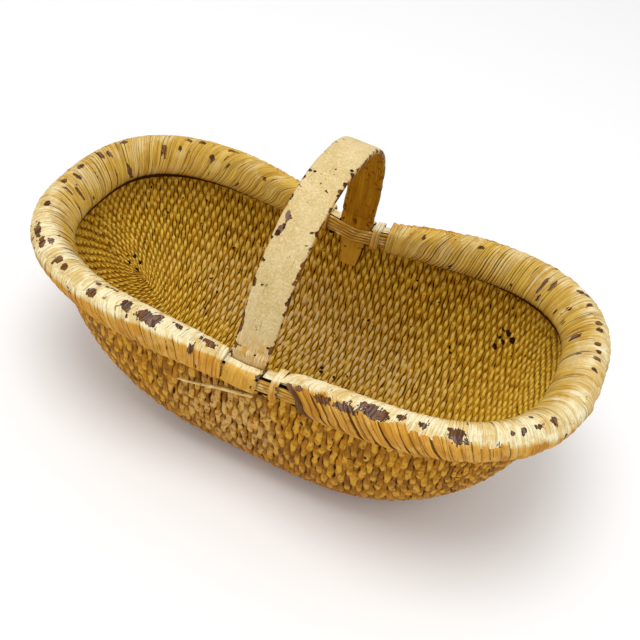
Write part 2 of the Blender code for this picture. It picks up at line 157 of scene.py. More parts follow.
# Flat strip along the top of the rods, and its section as shares of half its width and its thickness
TOP_STRIP_WIDTH = 0.011
TOP_STRIP_THICKNESS = 0.0011
TOP_STRIP_ROWS = 180
TOP_STRIP_OUT = np.array([-1, -1, -0.94, -0.5, 0, 0.5, 0.94, 1, 1, 0.5, 0, -0.5])
TOP_STRIP_UP = np.array([0.1, 0.7, 0.95, 1, 0.96, 1, 0.95, 0.7, 0.1, 0, 0, 0])

# Camera, fitted to the photograph
CAMERA_AZIMUTH = radians(17.509)
CAMERA_ELEVATION = radians(44.073)
CAMERA_ROLL = radians(-11.442)
CAMERA_DISTANCE = 1.043554
CAMERA_AIM_HEIGHT = 0.1331
CAMERA_AIM_RIGHT = 0.014896
CAMERA_AIM_UP = 0.000785
FOCAL_PIXELS = 967.276
IMAGE_PIXELS = 640
SENSOR_MM = 36

# Light
FLOOR_HALF_SIZE = 6
FLOOR_COLOUR = (0.93, 0.93, 0.93)
FLOOR_ROUGHNESS = 0.9
WORLD_STRENGTH = 0.78
LIGHT_PLACE = Vector((-0.1, -0.35, 2.4))
LIGHT_TARGET = Vector((0, 0, 0.12))
LIGHT_SIZE = 1.3
LIGHT_WATTS = 26

# Weaving: strand_across and strand_round give a strand's section from edge to edge
RIBS_ACROSS = 20
LEAST_RIB_SPACING = 0.008
FAN_FOCUS_X = -0.226
FAN_END_X = -0.045
FAN_POWER = 1.8
FAN_OFFSET = 0.024
KEEL_STEPS = 600
TIP_MARGIN = 0.0001
STRAND_SAMPLES = 241
STRAND_SPREAD = 0.9
STRAND_BEND = 1.3
STRAND_TONE_SPREAD = 0.24
STRAND_ROWS = 251
STRAND_ACROSS = np.array([-1, -0.62, 0, 0.62, 1])
STRAND_ROUND = np.array([0, 0.80, 1, 0.80, 0])
STRAND_OVERRUN = 0.003
UNEVEN_BEAT = 0.35
UNEVEN_WIDTH = 0.09
UNEVEN_HEIGHT = 0.00015
FLOOR_CLEARANCE = 0.0001
LOW_TOP = 0.085
BACKING_INSET = 0.0021
BACKING_THICKNESS = 0.0008
BACKING_STATIONS = 240
BACKING_RINGS = 46
BACKING_FLOOR_RINGS = 8
INSIDE_WEAVE = dict(
    pitch=0.0045, side=-1, cover=1.08, swell=0.22, crest=0.0003, under=-0.0013, edge=-0.0026,
    sway=0.05, rough=1, stretch=1, fullness=0.5,
)
OUTSIDE_WEAVE = dict(
    pitch=0.0062, side=1, cover=1.22, swell=0.20, crest=0.0002, under=-0.0010, edge=-0.0029,
    sway=0.12, rough=1.8, stretch=1.4, fullness=0.68,
)

# Strips of the border, and the profile of one from edge to edge
PROFILE_ACROSS = np.array([-1, -1, -0.6, 0, 0.6, 1, 1])
PROFILE_CROWN = np.array([0, 0, 0.80, 1, 0.80, 0, 0])
PROFILE_SKIRT = np.array([1, 0, 0, 0, 0, 0, 1])
SKIRT_DEPTH = 0.0014
POINT_START = 0.86
POINT_LENGTH = 0.14
STRIP_WANDER = 0.12
STRIP_TILT_SPREAD = 0.12
STRIP_TONE_SPREAD = 0.25
SLANT_EASE = 0.065
INNER_STRIP_END = radians(20)
OUTER_STRIP_START = radians(-10)
INNER_STRIP_WIDTH = 0.0032
OUTER_STRIP_WIDTH = 0.0088
FOOT_STRIP_WIDTH = 0.0044

# Holes in the weaving, drawn as dark spots of painted shade, in millimetres: their places and half sizes
HOLES = (
    (192, 115, 99, 4.6), (193, 119, 113, 4.4), (195, 120, 124, 4.4), (201, 117, 124, 5),
    (200, 114, 111, 4.4), (208, 112, 121, 5), (-238, 19, 78, 2.8), (-238, 31, 79, 3),
    (-231, 33, 71, 2.8), (-229, 23, 67, 3), (13, 53, 4, 3), (11, 60, 4, 2.8),
    (30, 53, 4, 2.4), (146, 118, 59, 2.8), (143, 120, 64, 2.8),
)

# Bare patches and a dark spot on the border: how many millimetres they are along the rim from the
# near handle foot, their angle round the border in degrees, and their half sizes along and around
CHIPS = (
    (-260, 0, 9, 4), (-245, 0, 5, 4), (-240, -25, 4, 4), (-215, -8, 4, 6), (-205, -7, 3, 4),
    (-165, 10, 4, 6), (-165, -22, 3, 3), (-158, -30, 3, 2), (-150, -35, 4, 2), (-130, 0, 6, 5),
    (-110, 5, 7, 6), (-100, 5, 7, 7), (-95, -15, 5, 2), (-75, -10, 6, 2), (-55, 45, 3, 8),
    (-45, -5, 9, 2), (18, 30, 1, 8), (45, 70, 6, 7), (60, 20, 4, 3), (88, 30, 10, 6),
    (110, 22, 12, 5), (125, -5, 5, 3), (135, 5, 13, 6), (145, 0, 6, 4), (160, -10, 4, 3),
    (180, -10, 4, 3), (210, -5, 8, 7), (255, -15, 2, 4), (265, -20, 3, 4), (280, -60, 2, 4),
    (280, -20, 4, 3), (295, -20, 3, 6), (375, -20, 3, 4), (390, -25, 2, 6), (400, -25, 2, 4),
    (410, -30, 3, 4), (425, -90, 3, 6), (430, -25, 3, 5), (440, -25, 3, 6), (465, -30, 2, 5),
    (480, -10, 3, 4), (485, -30, 4, 5), (510, -75, 2, 8), (515, -115, 2, 6), (520, -85, 2, 10),
    (605, -45, 4, 4), (670, -35, 2, 4), (870, -65, 3, 3), (920, -20, 6, 4), (940, -75, 3, 4),
    (955, -30, 4, 4), (970, -35, 4, 4), (980, -70, 2, 3), (1000, -80, 3, 7), (1045, -30, 4, 4),
    (1055, -115, 3, 8), (1070, -55, 2, 5), (1080, -40, 3, 6), (1110, -30, 4, 4), (1125, -50, 2, 6),
    (1140, -30, 4, 4), (1140, -85, 2, 7), (1150, -65, 2, 7), (-295, -25, 4, 4),
)
SPOTS = ((17, 60, 3, 3),)
NEAR_START = 0.3

# Bare patches and dark spots on the strap, in millimetres: how far up it from the near rim's top,
# how far right of its middle, and their half sizes along and across
STRAP_CHIPS = (
    (155, -12, 4.5, 3), (141, -13.5, 6, 3.2), (89, -17.5, 4, 2), (121, 19, 3, 2),
    (103, 19, 3, 2), (83, 19, 3, 2), (206, 18.5, 3, 2), (195, 18.5, 3, 2),
    (151, 19, 3, 2), (113, -6.5, 8, 0.6), (45, -18, 12, 2), (30, 18.5, 10, 2),
)
STRAP_SPOTS = (
    (206, -12.5, 1.6, 1.6), (218, 2.5, 1.6, 1.6), (211, 4, 1.4, 1.4), (225, 16, 2, 2),
    (29, 14.5, 1.6, 1.6), (15, 5.5, 1.6, 1.6),
)

# Colours
DULLNESS = 0.08
DEEP_BROWN = (0.030, 0.009, 0.001)
# For dirt, and for painted shade in crevices, grooves and creases
GRIME_AND_SHADE = (0.120, 0.040, 0.002)
BARK = (0.190, 0.072, 0.014)
PURPLE_BARK = (0.200, 0.120, 0.095)
CREAM = (0.70, 0.51, 0.20)
WHITE_PAINT = (0.88, 0.78, 0.50)
# Painted shade low down on the outside of the weave
LOW_SHADE = (0.36, 0.135, 0.002)
NICK = (0.06, 0.025, 0.010)
CHIP_FIBRE = (0.40, 0.27, 0.17)
CHIP_CRACK = (0.045, 0.018, 0.008)
CHIP_RIM = (0.04, 0.016, 0.008)
SPOT = (0.006, 0.004, 0.003)

# The dark, main and pale colour of each kind of willow
INSIDE_TONES = (0.48, 0.215, 0.001), (0.72, 0.385, 0.005), (0.92, 0.69, 0.130)
OUTSIDE_TONES = (0.20, 0.058, 0.001), (0.52, 0.210, 0.002), (0.70, 0.37, 0.030)
INNER_STRIP_TONES = (0.48, 0.25, 0.025), (0.68, 0.45, 0.080), (0.70, 0.50, 0.18)
OUTER_STRIP_TONES = (0.44, 0.18, 0.008), (0.70, 0.34, 0.040), (0.78, 0.50, 0.13)
FOOT_COVER_TONES = (0.50, 0.23, 0.012), (0.72, 0.37, 0.045), (0.80, 0.52, 0.14)
RIM_ROD_TONES = (0.36, 0.15, 0.010), (0.68, 0.39, 0.065), (0.84, 0.61, 0.24)
LOOSE_TONES = (0.56, 0.34, 0.10), (0.80, 0.58, 0.22), (0.88, 0.74, 0.42)

# Where each side of the weave is worn: the middle, how fast the wear ends along each axis, how much
# of it there is, and its colour
INSIDE_WEAR = (-0.02, 0.09, 0.015), (5.5, 18, 9), 0.92, (0.68, 0.53, 0.29)
OUTSIDE_WEAR = (-0.02, -0.14, 0.09), (16, 16, 16), 0.7, (0.68, 0.46, 0.18)

# Strap
PAINT_DULL = (0.57, 0.42, 0.17)
PAINT_CLEAN = (0.68, 0.53, 0.27)
PAINT_TAN = (0.60, 0.42, 0.16)
PAINT_PALE = (0.82, 0.69, 0.42)
PAINT_FLECK = (0.80, 0.69, 0.44)
PAINT_DARK_FLECK = (0.46, 0.30, 0.10)
PAINT_AT_EDGE = (0.50, 0.27, 0.09)
WEATHERED_DARK = (0.42, 0.22, 0.050)
WEATHERED_PALE = (0.80, 0.62, 0.32)
WEATHERED_OCHRE = (0.55, 0.30, 0.06)
WOOD_DARK = (0.34, 0.140, 0.004)
WOOD_MAIN = (0.62, 0.31, 0.018)
WOOD_AT_TAIL = (0.70, 0.40, 0.045)
WOOD_STAIN = (0.15, 0.052, 0.003)
STRAP_CHIP = (0.040, 0.017, 0.008)
STRAP_CHIP_RIM = (0.035, 0.014, 0.008)
STRAP_SPOT = (0.012, 0.007, 0.005)

UP = np.array([0, 0, 1])
RIGHT = np.array([1, 0, 0])
random = np.random.default_rng(SEED)


def signed_power(value, power):
    return np.sign(value) * np.abs(value) ** power


def rounded(angle, squareness):
    """A point at an angle on a rounded square of half width 1."""
    power = 2 / squareness
    return signed_power(np.cos(angle), power), signed_power(np.sin(angle), power)


def quarter_curve(share, power):
    """How far a rounded square reaches at a share of its half width."""
    return (1 - share**power) ** (1 / power)


def smooth(value):
    """A soft step from 0 to 1."""
    value = np.clip(value, 0, 1)
    return value * value * (3 - 2 * value)


def ramp(value, start, reach):
    """A soft step that begins at the start and is done a reach further on."""
    return smooth((value - start) / reach)


def mix(start, end, share):
    return start + (end - start) * share


def stacked(*values):
    """Vectors from their numbers along each axis."""
    return np.stack(np.broadcast_arrays(*values), axis=-1)


def unit(vectors):
    length = np.linalg.norm(vectors, axis=-1, keepdims=True)
    return vectors / np.maximum(length, 1e-12)


def scaled(vectors, amounts):
    """Each vector times its own amount."""
    return vectors * np.asarray(amounts)[..., None]


def distances(points):
    """How far along its line each point lies."""
    steps = np.linalg.norm(np.diff(points, axis=-2), axis=-1)
    start = np.zeros((*steps.shape[:-1], 1))
    return np.concatenate([start, np.cumsum(steps, axis=-1)], axis=-1)


def read_line(at, far, table):
    """Reads a table of vectors at some distances along its line."""
    return np.stack([np.interp(at, far, column) for column in table.T], axis=-1)


def soft_patches(points, patches):
    """1 in the middle of each patch, half that at its edge and 0 from twice its size.

    Each patch is its middle followed by its half sizes or by one half size for all axes.
    """
    axes = points.shape[-1]
    field = 0
    for patch in np.array(patches, float):
        away = np.linalg.norm((points - patch[:axes]) / patch[axes:], axis=-1)
        field = np.maximum(field, 1 - 0.5 * away)
    return field


def rim_line():
    """Points of the rim's centre line."""
    x, y = rounded(np.linspace(0, 2 * pi, RIM_STEPS + 1), RIM_SQUARENESS)
    x = RIM_HALF_LENGTH * x
    from_handle = x - HANDLE_X
    y = (RIM_HALF_WIDTH - WAIST_DEPTH * np.exp(-((from_handle / WAIST_REACH) ** 2))) * y
    soft = np.hypot(from_handle, RISE_SOFTNESS) - RISE_SOFTNESS
    full = hypot(RIM_HALF_LENGTH, RISE_SOFTNESS) - RISE_SOFTNESS
    rise = np.where(from_handle < 0, RISE_LEFT, RISE_RIGHT) * (soft / full) ** RISE_POWER
    return stacked(x, y, RIM_HEIGHT + rise)


RIM_POINTS = rim_line()
RIM_MARKS = distances(RIM_POINTS)
RIM_LENGTH = float(RIM_MARKS[-1])


def rim_point(mark):
    return read_line(np.mod(mark, RIM_LENGTH), RIM_MARKS, RIM_POINTS)


def handle_mark(span):
    """Where the rim passes the handle, along a span of its steps."""
    x, marks = RIM_POINTS[span, 0], RIM_MARKS[span]
    order = np.argsort(x)
    return float(np.interp(HANDLE_X, x[order], marks[order]))


FAR_HANDLE = handle_mark(slice(0, RIM_STEPS // 2))
NEAR_HANDLE = handle_mark(slice(RIM_STEPS // 2 + 1, RIM_STEPS))


class Section:
    """The border's sections at an array of marks."""

    def __init__(self, mark):
        mark = np.asarray(mark, float)
        self.centre = rim_point(mark)
        along = rim_point(mark + TANGENT_REACH) - rim_point(mark - TANGENT_REACH)
        self.outward = unit(np.cross(along, UP))
        self.from_handle = self.centre[..., 0] - HANDLE_X
        away = np.abs(self.from_handle)
        self.end_share = smooth(away / RIM_HALF_LENGTH)
        self.growth = mix(self.end_share, smooth(away / BORDER_TAPER_REACH), BORDER_TAPER_SHARE)
        self.half_width = mix(*BORDER_WIDTH, self.growth) / 2
        self.half_depth = mix(*BORDER_DEPTH, self.growth) / 2
        self.squareness = mix(*BORDER_SQUARENESS, self.growth)
        lean = BORDER_LEAN_AT_END * self.end_share
        self.rise = scaled(UP, np.cos(lean)) + scaled(self.outward, np.sin(lean))
        self.across = scaled(self.outward, np.cos(lean)) - scaled(UP, np.sin(lean))

    def at(self, up, out):
        return self.centre + scaled(self.rise, up) + scaled(self.across, out)

    def on_oval(self, angle, inset):
        up, out = rounded(angle, self.squareness)
        return self.at((self.half_width - inset) * up, (self.half_depth - inset) * out)

    def oval_reach(self, up, inset):
        place = np.minimum(np.abs(up) / (self.half_width - inset), 1)
        return (self.half_depth - inset) * quarter_curve(place, self.squareness)

    def oval_angle(self, out):
        """The angle at the top of the oval for a distance out from its middle."""
        share = np.clip(out / self.half_depth, -OVAL_SIDE, OVAL_SIDE)
        return np.arcsin(signed_power(share, self.squareness / 2))

    def wall_out(self):
        return WALL_PLACE_SHARE * self.half_depth

    def hem(self):
        """Where the shell's outer face leaves the border."""
        return self.at(-WALL_LEAVES_BORDER_SHARE * self.half_width, self.wall_out())


def inner_lip(section):
    return -pi - section.oval_angle(section.wall_out() - WALL - LIP_GAP)


def outer_lip(section):
    return pi - section.oval_angle(OUTER_LIP_SHARE * section.half_depth)


def foot_of(hem):
    """Where the floor's edge lies under a point of the hem, seen from above."""
    x = FLOOR_SHIFT + FLOOR_HALF_LENGTH * hem[..., 0] / RIM_HALF_LENGTH
    return stacked(x, FLOOR_HALF_WIDTH * hem[..., 1] / RIM_HALF_WIDTH)


def bowl_squareness(hem):
    share = smooth(np.abs(hem[..., 0]) / RIM_HALF_LENGTH)
    return mix(*BOWL_SQUARENESS, share)


def wall_point(mark, fall):
    """Points on the shell's outer face, from the hem (0) to the edge of the floor (1)."""
    hem = Section(mark).hem()
    foot = foot_of(hem)
    fall = np.clip(fall, 0, 1)
    spread = quarter_curve(fall, bowl_squareness(hem))
    x = mix(foot[..., 0], hem[..., 0], spread)
    y = mix(foot[..., 1], hem[..., 1], spread)
    return stacked(x, y, hem[..., 2] * (1 - fall))


HALF_MARKS = np.linspace(0, RIM_LENGTH / 2, HALF_STEPS + 1)
HALF_HEM = Section(HALF_MARKS).hem()
HALF_FOOT = foot_of(HALF_HEM)
HALF_REACH = HALF_HEM[:, :2] - HALF_FOOT
HALF_POWER = bowl_squareness(HALF_HEM)


def bowl_height(x, y):
    """Height of the shell's outer face over points seen from above."""
    place = stacked(x, np.maximum(np.abs(y), 1e-6))
    low = np.zeros(x.shape, int)
    high = np.full(x.shape, HALF_STEPS)
    while np.max(high - low) > 1:
        middle = (low + high) // 2
        reach, from_foot = HALF_REACH[middle], place - HALF_FOOT[middle]
        before = reach[..., 0] * from_foot[..., 1] > reach[..., 1] * from_foot[..., 0]
        low = np.where(before, middle, low)
        high = np.where(before, high, middle)
    height = 0
    for index in (low, high):
        reach = HALF_REACH[index]
        spread = np.sum((place - HALF_FOOT[index]) * reach, axis=-1) / np.sum(reach**2, axis=-1)
        fall = quarter_curve(np.clip(spread, 0, 1), HALF_POWER[index])
        height = height + HALF_HEM[index, 2] * (1 - fall) / 2
    return height


def grid_faces(grids, rows, columns, closed):
    """Quads of equal grids of vertices, numbered grid by grid and row by row."""
    last = columns if closed else columns - 1
    row, column = np.meshgrid(np.arange(rows - 1), np.arange(last), indexing="ij")
    across = (column + 1) % columns
    near, far = row * columns, (row + 1) * columns
    quads = stacked(near + column, near + across, far + across, far + column).reshape(-1, 4)
    starts = np.arange(grids)[:, None, None] * rows * columns
    return (quads + starts).reshape(-1, 4)


def link(name, data):
    made = bpy.data.objects.new(name, data)
    bpy.context.scene.collection.objects.link(made)
    return made


def fill(items, key, values, kind=np.float32):
    items.foreach_set(key, values.astype(kind).ravel())


def build_piece(name, node, slot, look, points, values, keep=slice(None), closed=False, flip=False):
    """A smooth mesh of one or more grids of points, riding on the basket.

    Each value is an attribute that the material reads, one number or a tuple of three for each
    point. keep picks some of the grids, and closed joins each row's last point to its first.
    """
    shape = points.shape[:-1]
    points = points[keep]
    faces = grid_faces(*(1, *points.shape[:-1])[-3:], closed)
    if flip:
        faces = faces[:, ::-1]
    data = bpy.data.meshes.new(name)
    data.vertices.add(points.size // 3)
    data.loops.add(faces.size)
    data.polygons.add(len(faces))
    fill(data.vertices, "co", points)
    fill(data.loops, "vertex_index", faces, np.int32)
    fill(data.polygons, "loop_start", np.arange(0, faces.size, 4), np.int32)
    data.update(calc_edges=True)
    data.validate()
    for key, value in values.items():
        vector = isinstance(value, tuple)
        full = stacked(*value, np.zeros(shape))[..., :3] if vector else np.broadcast_to(value, shape)
        layer = data.attributes.new(key, "FLOAT_VECTOR" if vector else "FLOAT", "POINT")
        fill(layer.data, "vector" if vector else "value", full[keep])
    data.shade_smooth()
    data.materials.append(look)
    piece = link(name, data)
    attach(piece, "root")
    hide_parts(node)


class Graph:
    """A short way to write a material's nodes."""

    def __init__(self, name):
        self.material = bpy.data.materials.new(name)
        self.material.use_nodes = True
        self.tree = self.material.node_tree
        self.shader = self.tree.nodes["Principled BSDF"]

    def put(self, socket, value):
        if isinstance(value, bpy.types.NodeSocket):
            self.tree.links.new(value, socket)
        elif socket.type == "RGBA":
            socket.default_value = (*value, 1)
        else:
            socket.default_value = value

    def fill_in(self, node, inputs):
        for key, value in inputs.items():
            self.put(node.inputs[key], value)

    def add(self, kind, inputs=None, output=0, **settings):
        node = self.tree.nodes.new(kind)
        for key, value in settings.items():
            setattr(node, key, value)
        self.fill_in(node, inputs or {})
        return node.outputs[output]

    def value(self, name):
        return self.add("ShaderNodeAttribute", output="Fac", attribute_name=name)

    def place(self):
        return self.add("ShaderNodeTexCoord", output="Object")

    def stretched(self, vector, scale):
        return self.add("ShaderNodeMapping", {"Vector": vector, "Scale": scale})

    def noise(self, scale, detail, roughness=0.55, vector=None):
        inputs = {"Scale": scale, "Detail": detail, "Roughness": roughness}
        inputs["Vector"] = vector or self.place()
        return self.add("ShaderNodeTexNoise", inputs, "Fac")

    def fibres(self, along, across, detail, roughness):
        """Noise drawn out along the fibre, from its scales along and across it."""
        fibre = self.add("ShaderNodeAttribute", output="Vector", attribute_name="fibre")
        return self.noise(1, detail, roughness, self.stretched(fibre, (along, across, 1)))

    def math(self, operation, first, *others):
        """Values joined one after the other by an operation."""
        for other in others:
            first = self.add("ShaderNodeMath", {0: first, 1: other}, operation=operation)
        return first

    def plus(self, *values):
        return self.math("ADD", *values)

    def times(self, *values):
        return self.math("MULTIPLY", *values)

    def span(self, value, low, high, to_low=0, to_high=1):
        inputs = {"Value": value, "From Min": low, "From Max": high, "To Min": to_low, "To Max": to_high}
        return self.add("ShaderNodeMapRange", inputs, interpolation_type="SMOOTHSTEP")

    def mix(self, share, first, second):
        return self.add("ShaderNodeMix", {0: share, 6: first, 7: second}, 2, data_type="RGBA")

    def layers(self, colour, *layers):
        """Colours laid one over another, each as its value goes from low to high, up to a share."""
        for paint, value, low, high, *share in layers:
            colour = self.mix(self.span(value, low, high, 0, *share), colour, paint)
        return colour

    def torn_chips(self, along, across):
        """Over 1.5 where a flake of paint has come off, with a torn edge along the fibre."""
        return self.plus(self.value("chip"), self.fibres(along, across, 3, 0.6), self.noise(150, 2, 0.5))

    def finish(self, colour, roughness, height, bump_distance, bump_strength=0.6):
        relief = {"Height": height, "Distance": bump_distance, "Strength": bump_strength}
        looks = {"Base Color": colour, "Roughness": roughness, "Specular IOR Level": DULLNESS}
        self.fill_in(self.shader, {**looks, "Normal": self.add("ShaderNodeBump", relief)})
        return self.material


def weave_material(name, tones, wear):
    """Woven willow: each crest its own tone with a painted highlight towards one end, worn in one place,
    with painted shade down its edges and low on the outside.
    """
    dark, main, bright = tones
    worn_centre, worn_reach, worn_share, worn = wear
    g = Graph(name)
    crown = g.value("crown")
    grain = g.fibres(120, 1400, 5, 0.65)
    mottle = g.noise(210, 4, 0.65)
    crackle = g.noise(480, 4, 0.7)
    shade = g.plus(g.value("tone"), g.times(g.noise(16, 4, 0.6), 0.9))
    # Painted highlight on the crown at one end of each crest, where tip is high
    tip_highlight = g.times(g.value("tip"), g.span(crown, 0.45, 0.90))
    from_worn = g.add("ShaderNodeVectorMath", {0: g.place(), 1: worn_centre}, operation="SUBTRACT")
    from_worn = g.stretched(from_worn, worn_reach)
    away = g.add("ShaderNodeVectorMath", {0: from_worn}, "Value", operation="LENGTH")
    away = g.plus(away, g.times(g.noise(38, 5, 0.65), 1.1))
    rubbed = g.times(g.span(away, 1.85, 0.95), g.span(crown, 0.35, 0.80), worn_share)
    colour = g.layers(
        dark,
        (main, shade, 0.50, 1.30),
        (bright, grain, 0.42, 0.68, 0.55),
        (dark, mottle, 0.55, 0.42, 0.45),
        (dark, crackle, 0.48, 0.36, 0.65),
        (bright, mottle, 0.30, 0.55, tip_highlight),
        (worn, mottle, 0.35, 0.60, rubbed),
    )
    # Painted shade: darker low on the outside, and where the crown is low, down each strand's edges and
    # under the ribs
    colour = g.layers(
        g.mix(g.times(g.value("low"), 0.70), colour, LOW_SHADE),
        (GRIME_AND_SHADE, crown, 0.50, 0.15, 0.80),
        (DEEP_BROWN, crown, 0.18, 0.03),
        (DEEP_BROWN, g.noise(120, 2, 0.5), 0.70, 0.72),
        # The holes, painted dark as the shade inside them
        (DEEP_BROWN, g.plus(g.value("hole"), g.times(mottle, 0.5)), 0.70, 0.78),
    )
    height = g.plus(grain, g.times(mottle, 0.8), g.times(crackle, 0.6))
    return g.finish(colour, g.span(grain, 0.3, 0.8, 0.42, 0.62), height, 0.0011, 0.75)


def gap_shade_material():
    """Painted shade: what shows in the gaps between the floats, near black mottled with dark brown."""
    g = Graph("weave_gap_shade")
    shade_mottle = g.noise(120, 4)
    return g.finish(g.layers(DEEP_BROWN, (GRIME_AND_SHADE, shade_mottle, 0.4, 0.75)), 0.9, shade_mottle, 0.0008)


def strip_material(name, tones, chip_amount, cracks=1):
    """Flat willow strips under old paint: paint on top, bare ochre below, painted shade in the grooves
    between strips and towards the crease.
    """
    dark, main, pale = tones
    g = Graph(name)
    paint = g.value("paint")
    shade = g.value("shade")
    grain = g.fibres(70, 1500, 5, 0.65)
    streak = g.fibres(26, 420, 4, 0.6)
    crack = g.fibres(16, 800, 2, 0.5)
    blotch = g.noise(38, 5, 0.65)
    flecks = g.noise(260, 3, 0.6)
    tone = g.times(g.value("tone"), 0.30)
    cover = g.plus(paint, tone, g.times(streak, 0.9), g.span(blotch, 0.36, 0.64, 0, 0.45), -0.84)
    colour = g.layers(
        dark,
        (main, g.plus(tone, streak), 0.35, 0.85),
        (pale, blotch, 0.45, 0.68, 0.6),
        (CREAM, cover, 0.35, 0.75),
        (WHITE_PAINT, g.times(cover, grain), 0.38, 0.58),
        (WHITE_PAINT, grain, 0.50, 0.75, 0.30),
        (dark, flecks, 0.58, 0.72, 0.40),
        (GRIME_AND_SHADE, crack, 0.60, 0.65, g.times(g.span(paint, 1, 0.7, 0.35, 0.80), cracks)),
    )
    # Painted shade: darker towards the crease underneath, and in the grooves between strips where the crown
    # is low
    colour = g.layers(
        g.mix(g.times(shade, 0.75), colour, dark),
        (GRIME_AND_SHADE, streak, 0.40, 0.65, shade),
        (DEEP_BROWN, shade, 0.50, 0.85, 0.95),
        (GRIME_AND_SHADE, g.value("crown"), 0.60, 0.10, 0.95),
        (NICK, g.fibres(60, 240, 3, 0.55), 0.68, 0.70),
    )
    torn = g.torn_chips(150, 420)
    loose = g.span(g.noise(85, 3, 0.5), chip_amount, chip_amount + 0.015)
    bare = g.math("MAXIMUM", g.times(loose, g.span(paint, 0.2, 0.5)), g.span(torn, 1.46, 1.52))
    under = g.layers(
        BARK,
        (PURPLE_BARK, blotch, 0.48, 0.60),
        (CHIP_FIBRE, grain, 0.50, 0.62, 0.6),
        (CHIP_CRACK, streak, 0.55, 0.42, 0.8),
    )
    colour = g.layers(
        g.mix(bare, colour, under),
        (CHIP_RIM, torn, 1.62, 1.52, g.times(bare, 0.8)),
        (SPOT, g.plus(g.value("hole"), flecks), 1, 1.1),
    )
    height = g.plus(grain, g.times(flecks, 0.6))
    height = g.math("SUBTRACT", height, bare, g.span(crack, 0.62, 0.70))
    return g.finish(colour, g.span(cover, 0.3, 0.7, 0.68, 0.52), height, 0.0007, 0.55)


def strap_material():
    """The handle: cream paint outside, chipped along its edges, bare dark ochre inside."""
    g = Graph("painted_strap")
    edge = g.value("edge")
    inside = g.value("inside")
    tail = g.value("tail")
    grain = g.fibres(14, 380, 5, 0.65)
    fine = g.fibres(60, 1500, 4, 0.6)
    blotch = g.noise(28, 4, 0.6)
    mottle = g.noise(130, 4, 0.6)
    fleck = g.noise(520, 3, 0.65)
    flakes = g.noise(120, 3, 0.55)
    weathered = g.layers(
        WEATHERED_DARK,
        (WEATHERED_PALE, fine, 0.35, 0.65),
        (WEATHERED_OCHRE, mottle, 0.52, 0.62),
    )
    painted = g.layers(
        PAINT_DULL,
        (PAINT_CLEAN, blotch, 0.35, 0.7),
        (PAINT_TAN, grain, 0.50, 0.75, 0.4),
        (PAINT_PALE, mottle, 0.50, 0.80, 0.3),
        (PAINT_FLECK, fleck, 0.50, 0.66, 0.5),
        (PAINT_DARK_FLECK, fleck, 0.44, 0.34, 0.5),
        (PAINT_AT_EDGE, edge, 0.35, 0.9, 0.8),
        (weathered, blotch, 0.30, 0.50, g.value("low")),
    )
    # Bare wood inside, paler on the tail, with painted shade along the tail's edges
    wood = g.layers(
        g.mix(g.times(tail, 0.6), g.layers(WOOD_DARK, (WOOD_MAIN, grain, 0.3, 0.75)), WOOD_AT_TAIL),
        (WOOD_STAIN, mottle, 0.56, 0.68),
        (DEEP_BROWN, fine, 0.60, 0.70),
        (DEEP_BROWN, edge, 0.10, 0.60, tail),
    )
    near_edge = g.plus(flakes, g.times(edge, 0.22), g.times(inside, -0.04))
    placed = g.span(g.torn_chips(110, 240), 1.46, 1.52)
    bare = g.math("MAXIMUM", g.span(near_edge, 0.70, 0.72), placed)
    on_face = g.times(placed, g.span(edge, 0.30, 0.05))
    under = g.layers(
        STRAP_CHIP,
        (BARK, mottle, 0.40, 0.60),
        (PURPLE_BARK, mottle, 0.44, 0.56, on_face),
    )
    colour = g.mix(bare, g.mix(inside, painted, wood), under)
    rim = g.math("SUBTRACT", g.span(near_edge, 0.685, 0.70), g.span(near_edge, 0.71, 0.73))
    colour = g.layers(
        g.mix(g.times(rim, 0.85), colour, STRAP_CHIP_RIM),
        (GRIME_AND_SHADE, g.fibres(30, 700, 2, 0.5), 0.68, 0.73, 0.6),
        (STRAP_SPOT, g.plus(g.value("hole"), g.times(flakes, 0.6)), 0.80, 0.88),
    )
    height = g.math("SUBTRACT", g.plus(grain, g.times(fine, 0.5)), bare)
    return g.finish(colour, g.span(grain, 0.3, 0.8, 0.50, 0.68), height, 0.0007, 0.45)


def rod_material(name, tones):
    """Round willow rods: grain along them, pale blotches and dark knots."""
    dark, main, pale = tones
    g = Graph(name)
    grain = g.fibres(50, 700, 4, 0.6)
    colour = g.layers(
        dark,
        (main, grain, 0.3, 0.7),
        (pale, g.noise(70, 3), 0.5, 0.7),
        (BARK, g.noise(160, 2), 0.70, 0.74),
    )
    return g.finish(colour, 0.6, grain, 0.0005)


def strand_keels(pitch):
    """Where each curve of the weave crosses the keel, and the mark where it meets the hem.

    The curves run straight across the basket, but at the left end they fan out from one place.
    """
    hem_x, marks, hem_far = HALF_HEM[::-1, 0], HALF_MARKS[::-1], distances(HALF_HEM[::-1])
    fan_length = np.interp(FAN_END_X, hem_x, hem_far)
    fan_count = int(round(fan_length / pitch))
    fan_share = (np.arange(fan_count) + 0.5) / fan_count
    fan_keel = mix(FAN_FOCUS_X, FAN_END_X, fan_share**FAN_POWER)
    keel_x = mix(FAN_END_X, hem_x[-1] - TIP_MARGIN, np.sin(np.linspace(0, pi / 2, KEEL_STEPS)))
    keel_far = distances(stacked(keel_x, bowl_height(keel_x, 0 * keel_x)))
    count = int(round(keel_far[-1] / pitch))
    straight = np.interp((np.arange(count) + 0.5) / count * keel_far[-1], keel_far, keel_x)
    hem_marks = [np.interp(fan_share * fan_length, hem_far, marks), np.interp(straight, hem_x, marks)]
    return np.concatenate([fan_keel, straight]), np.concatenate(hem_marks)


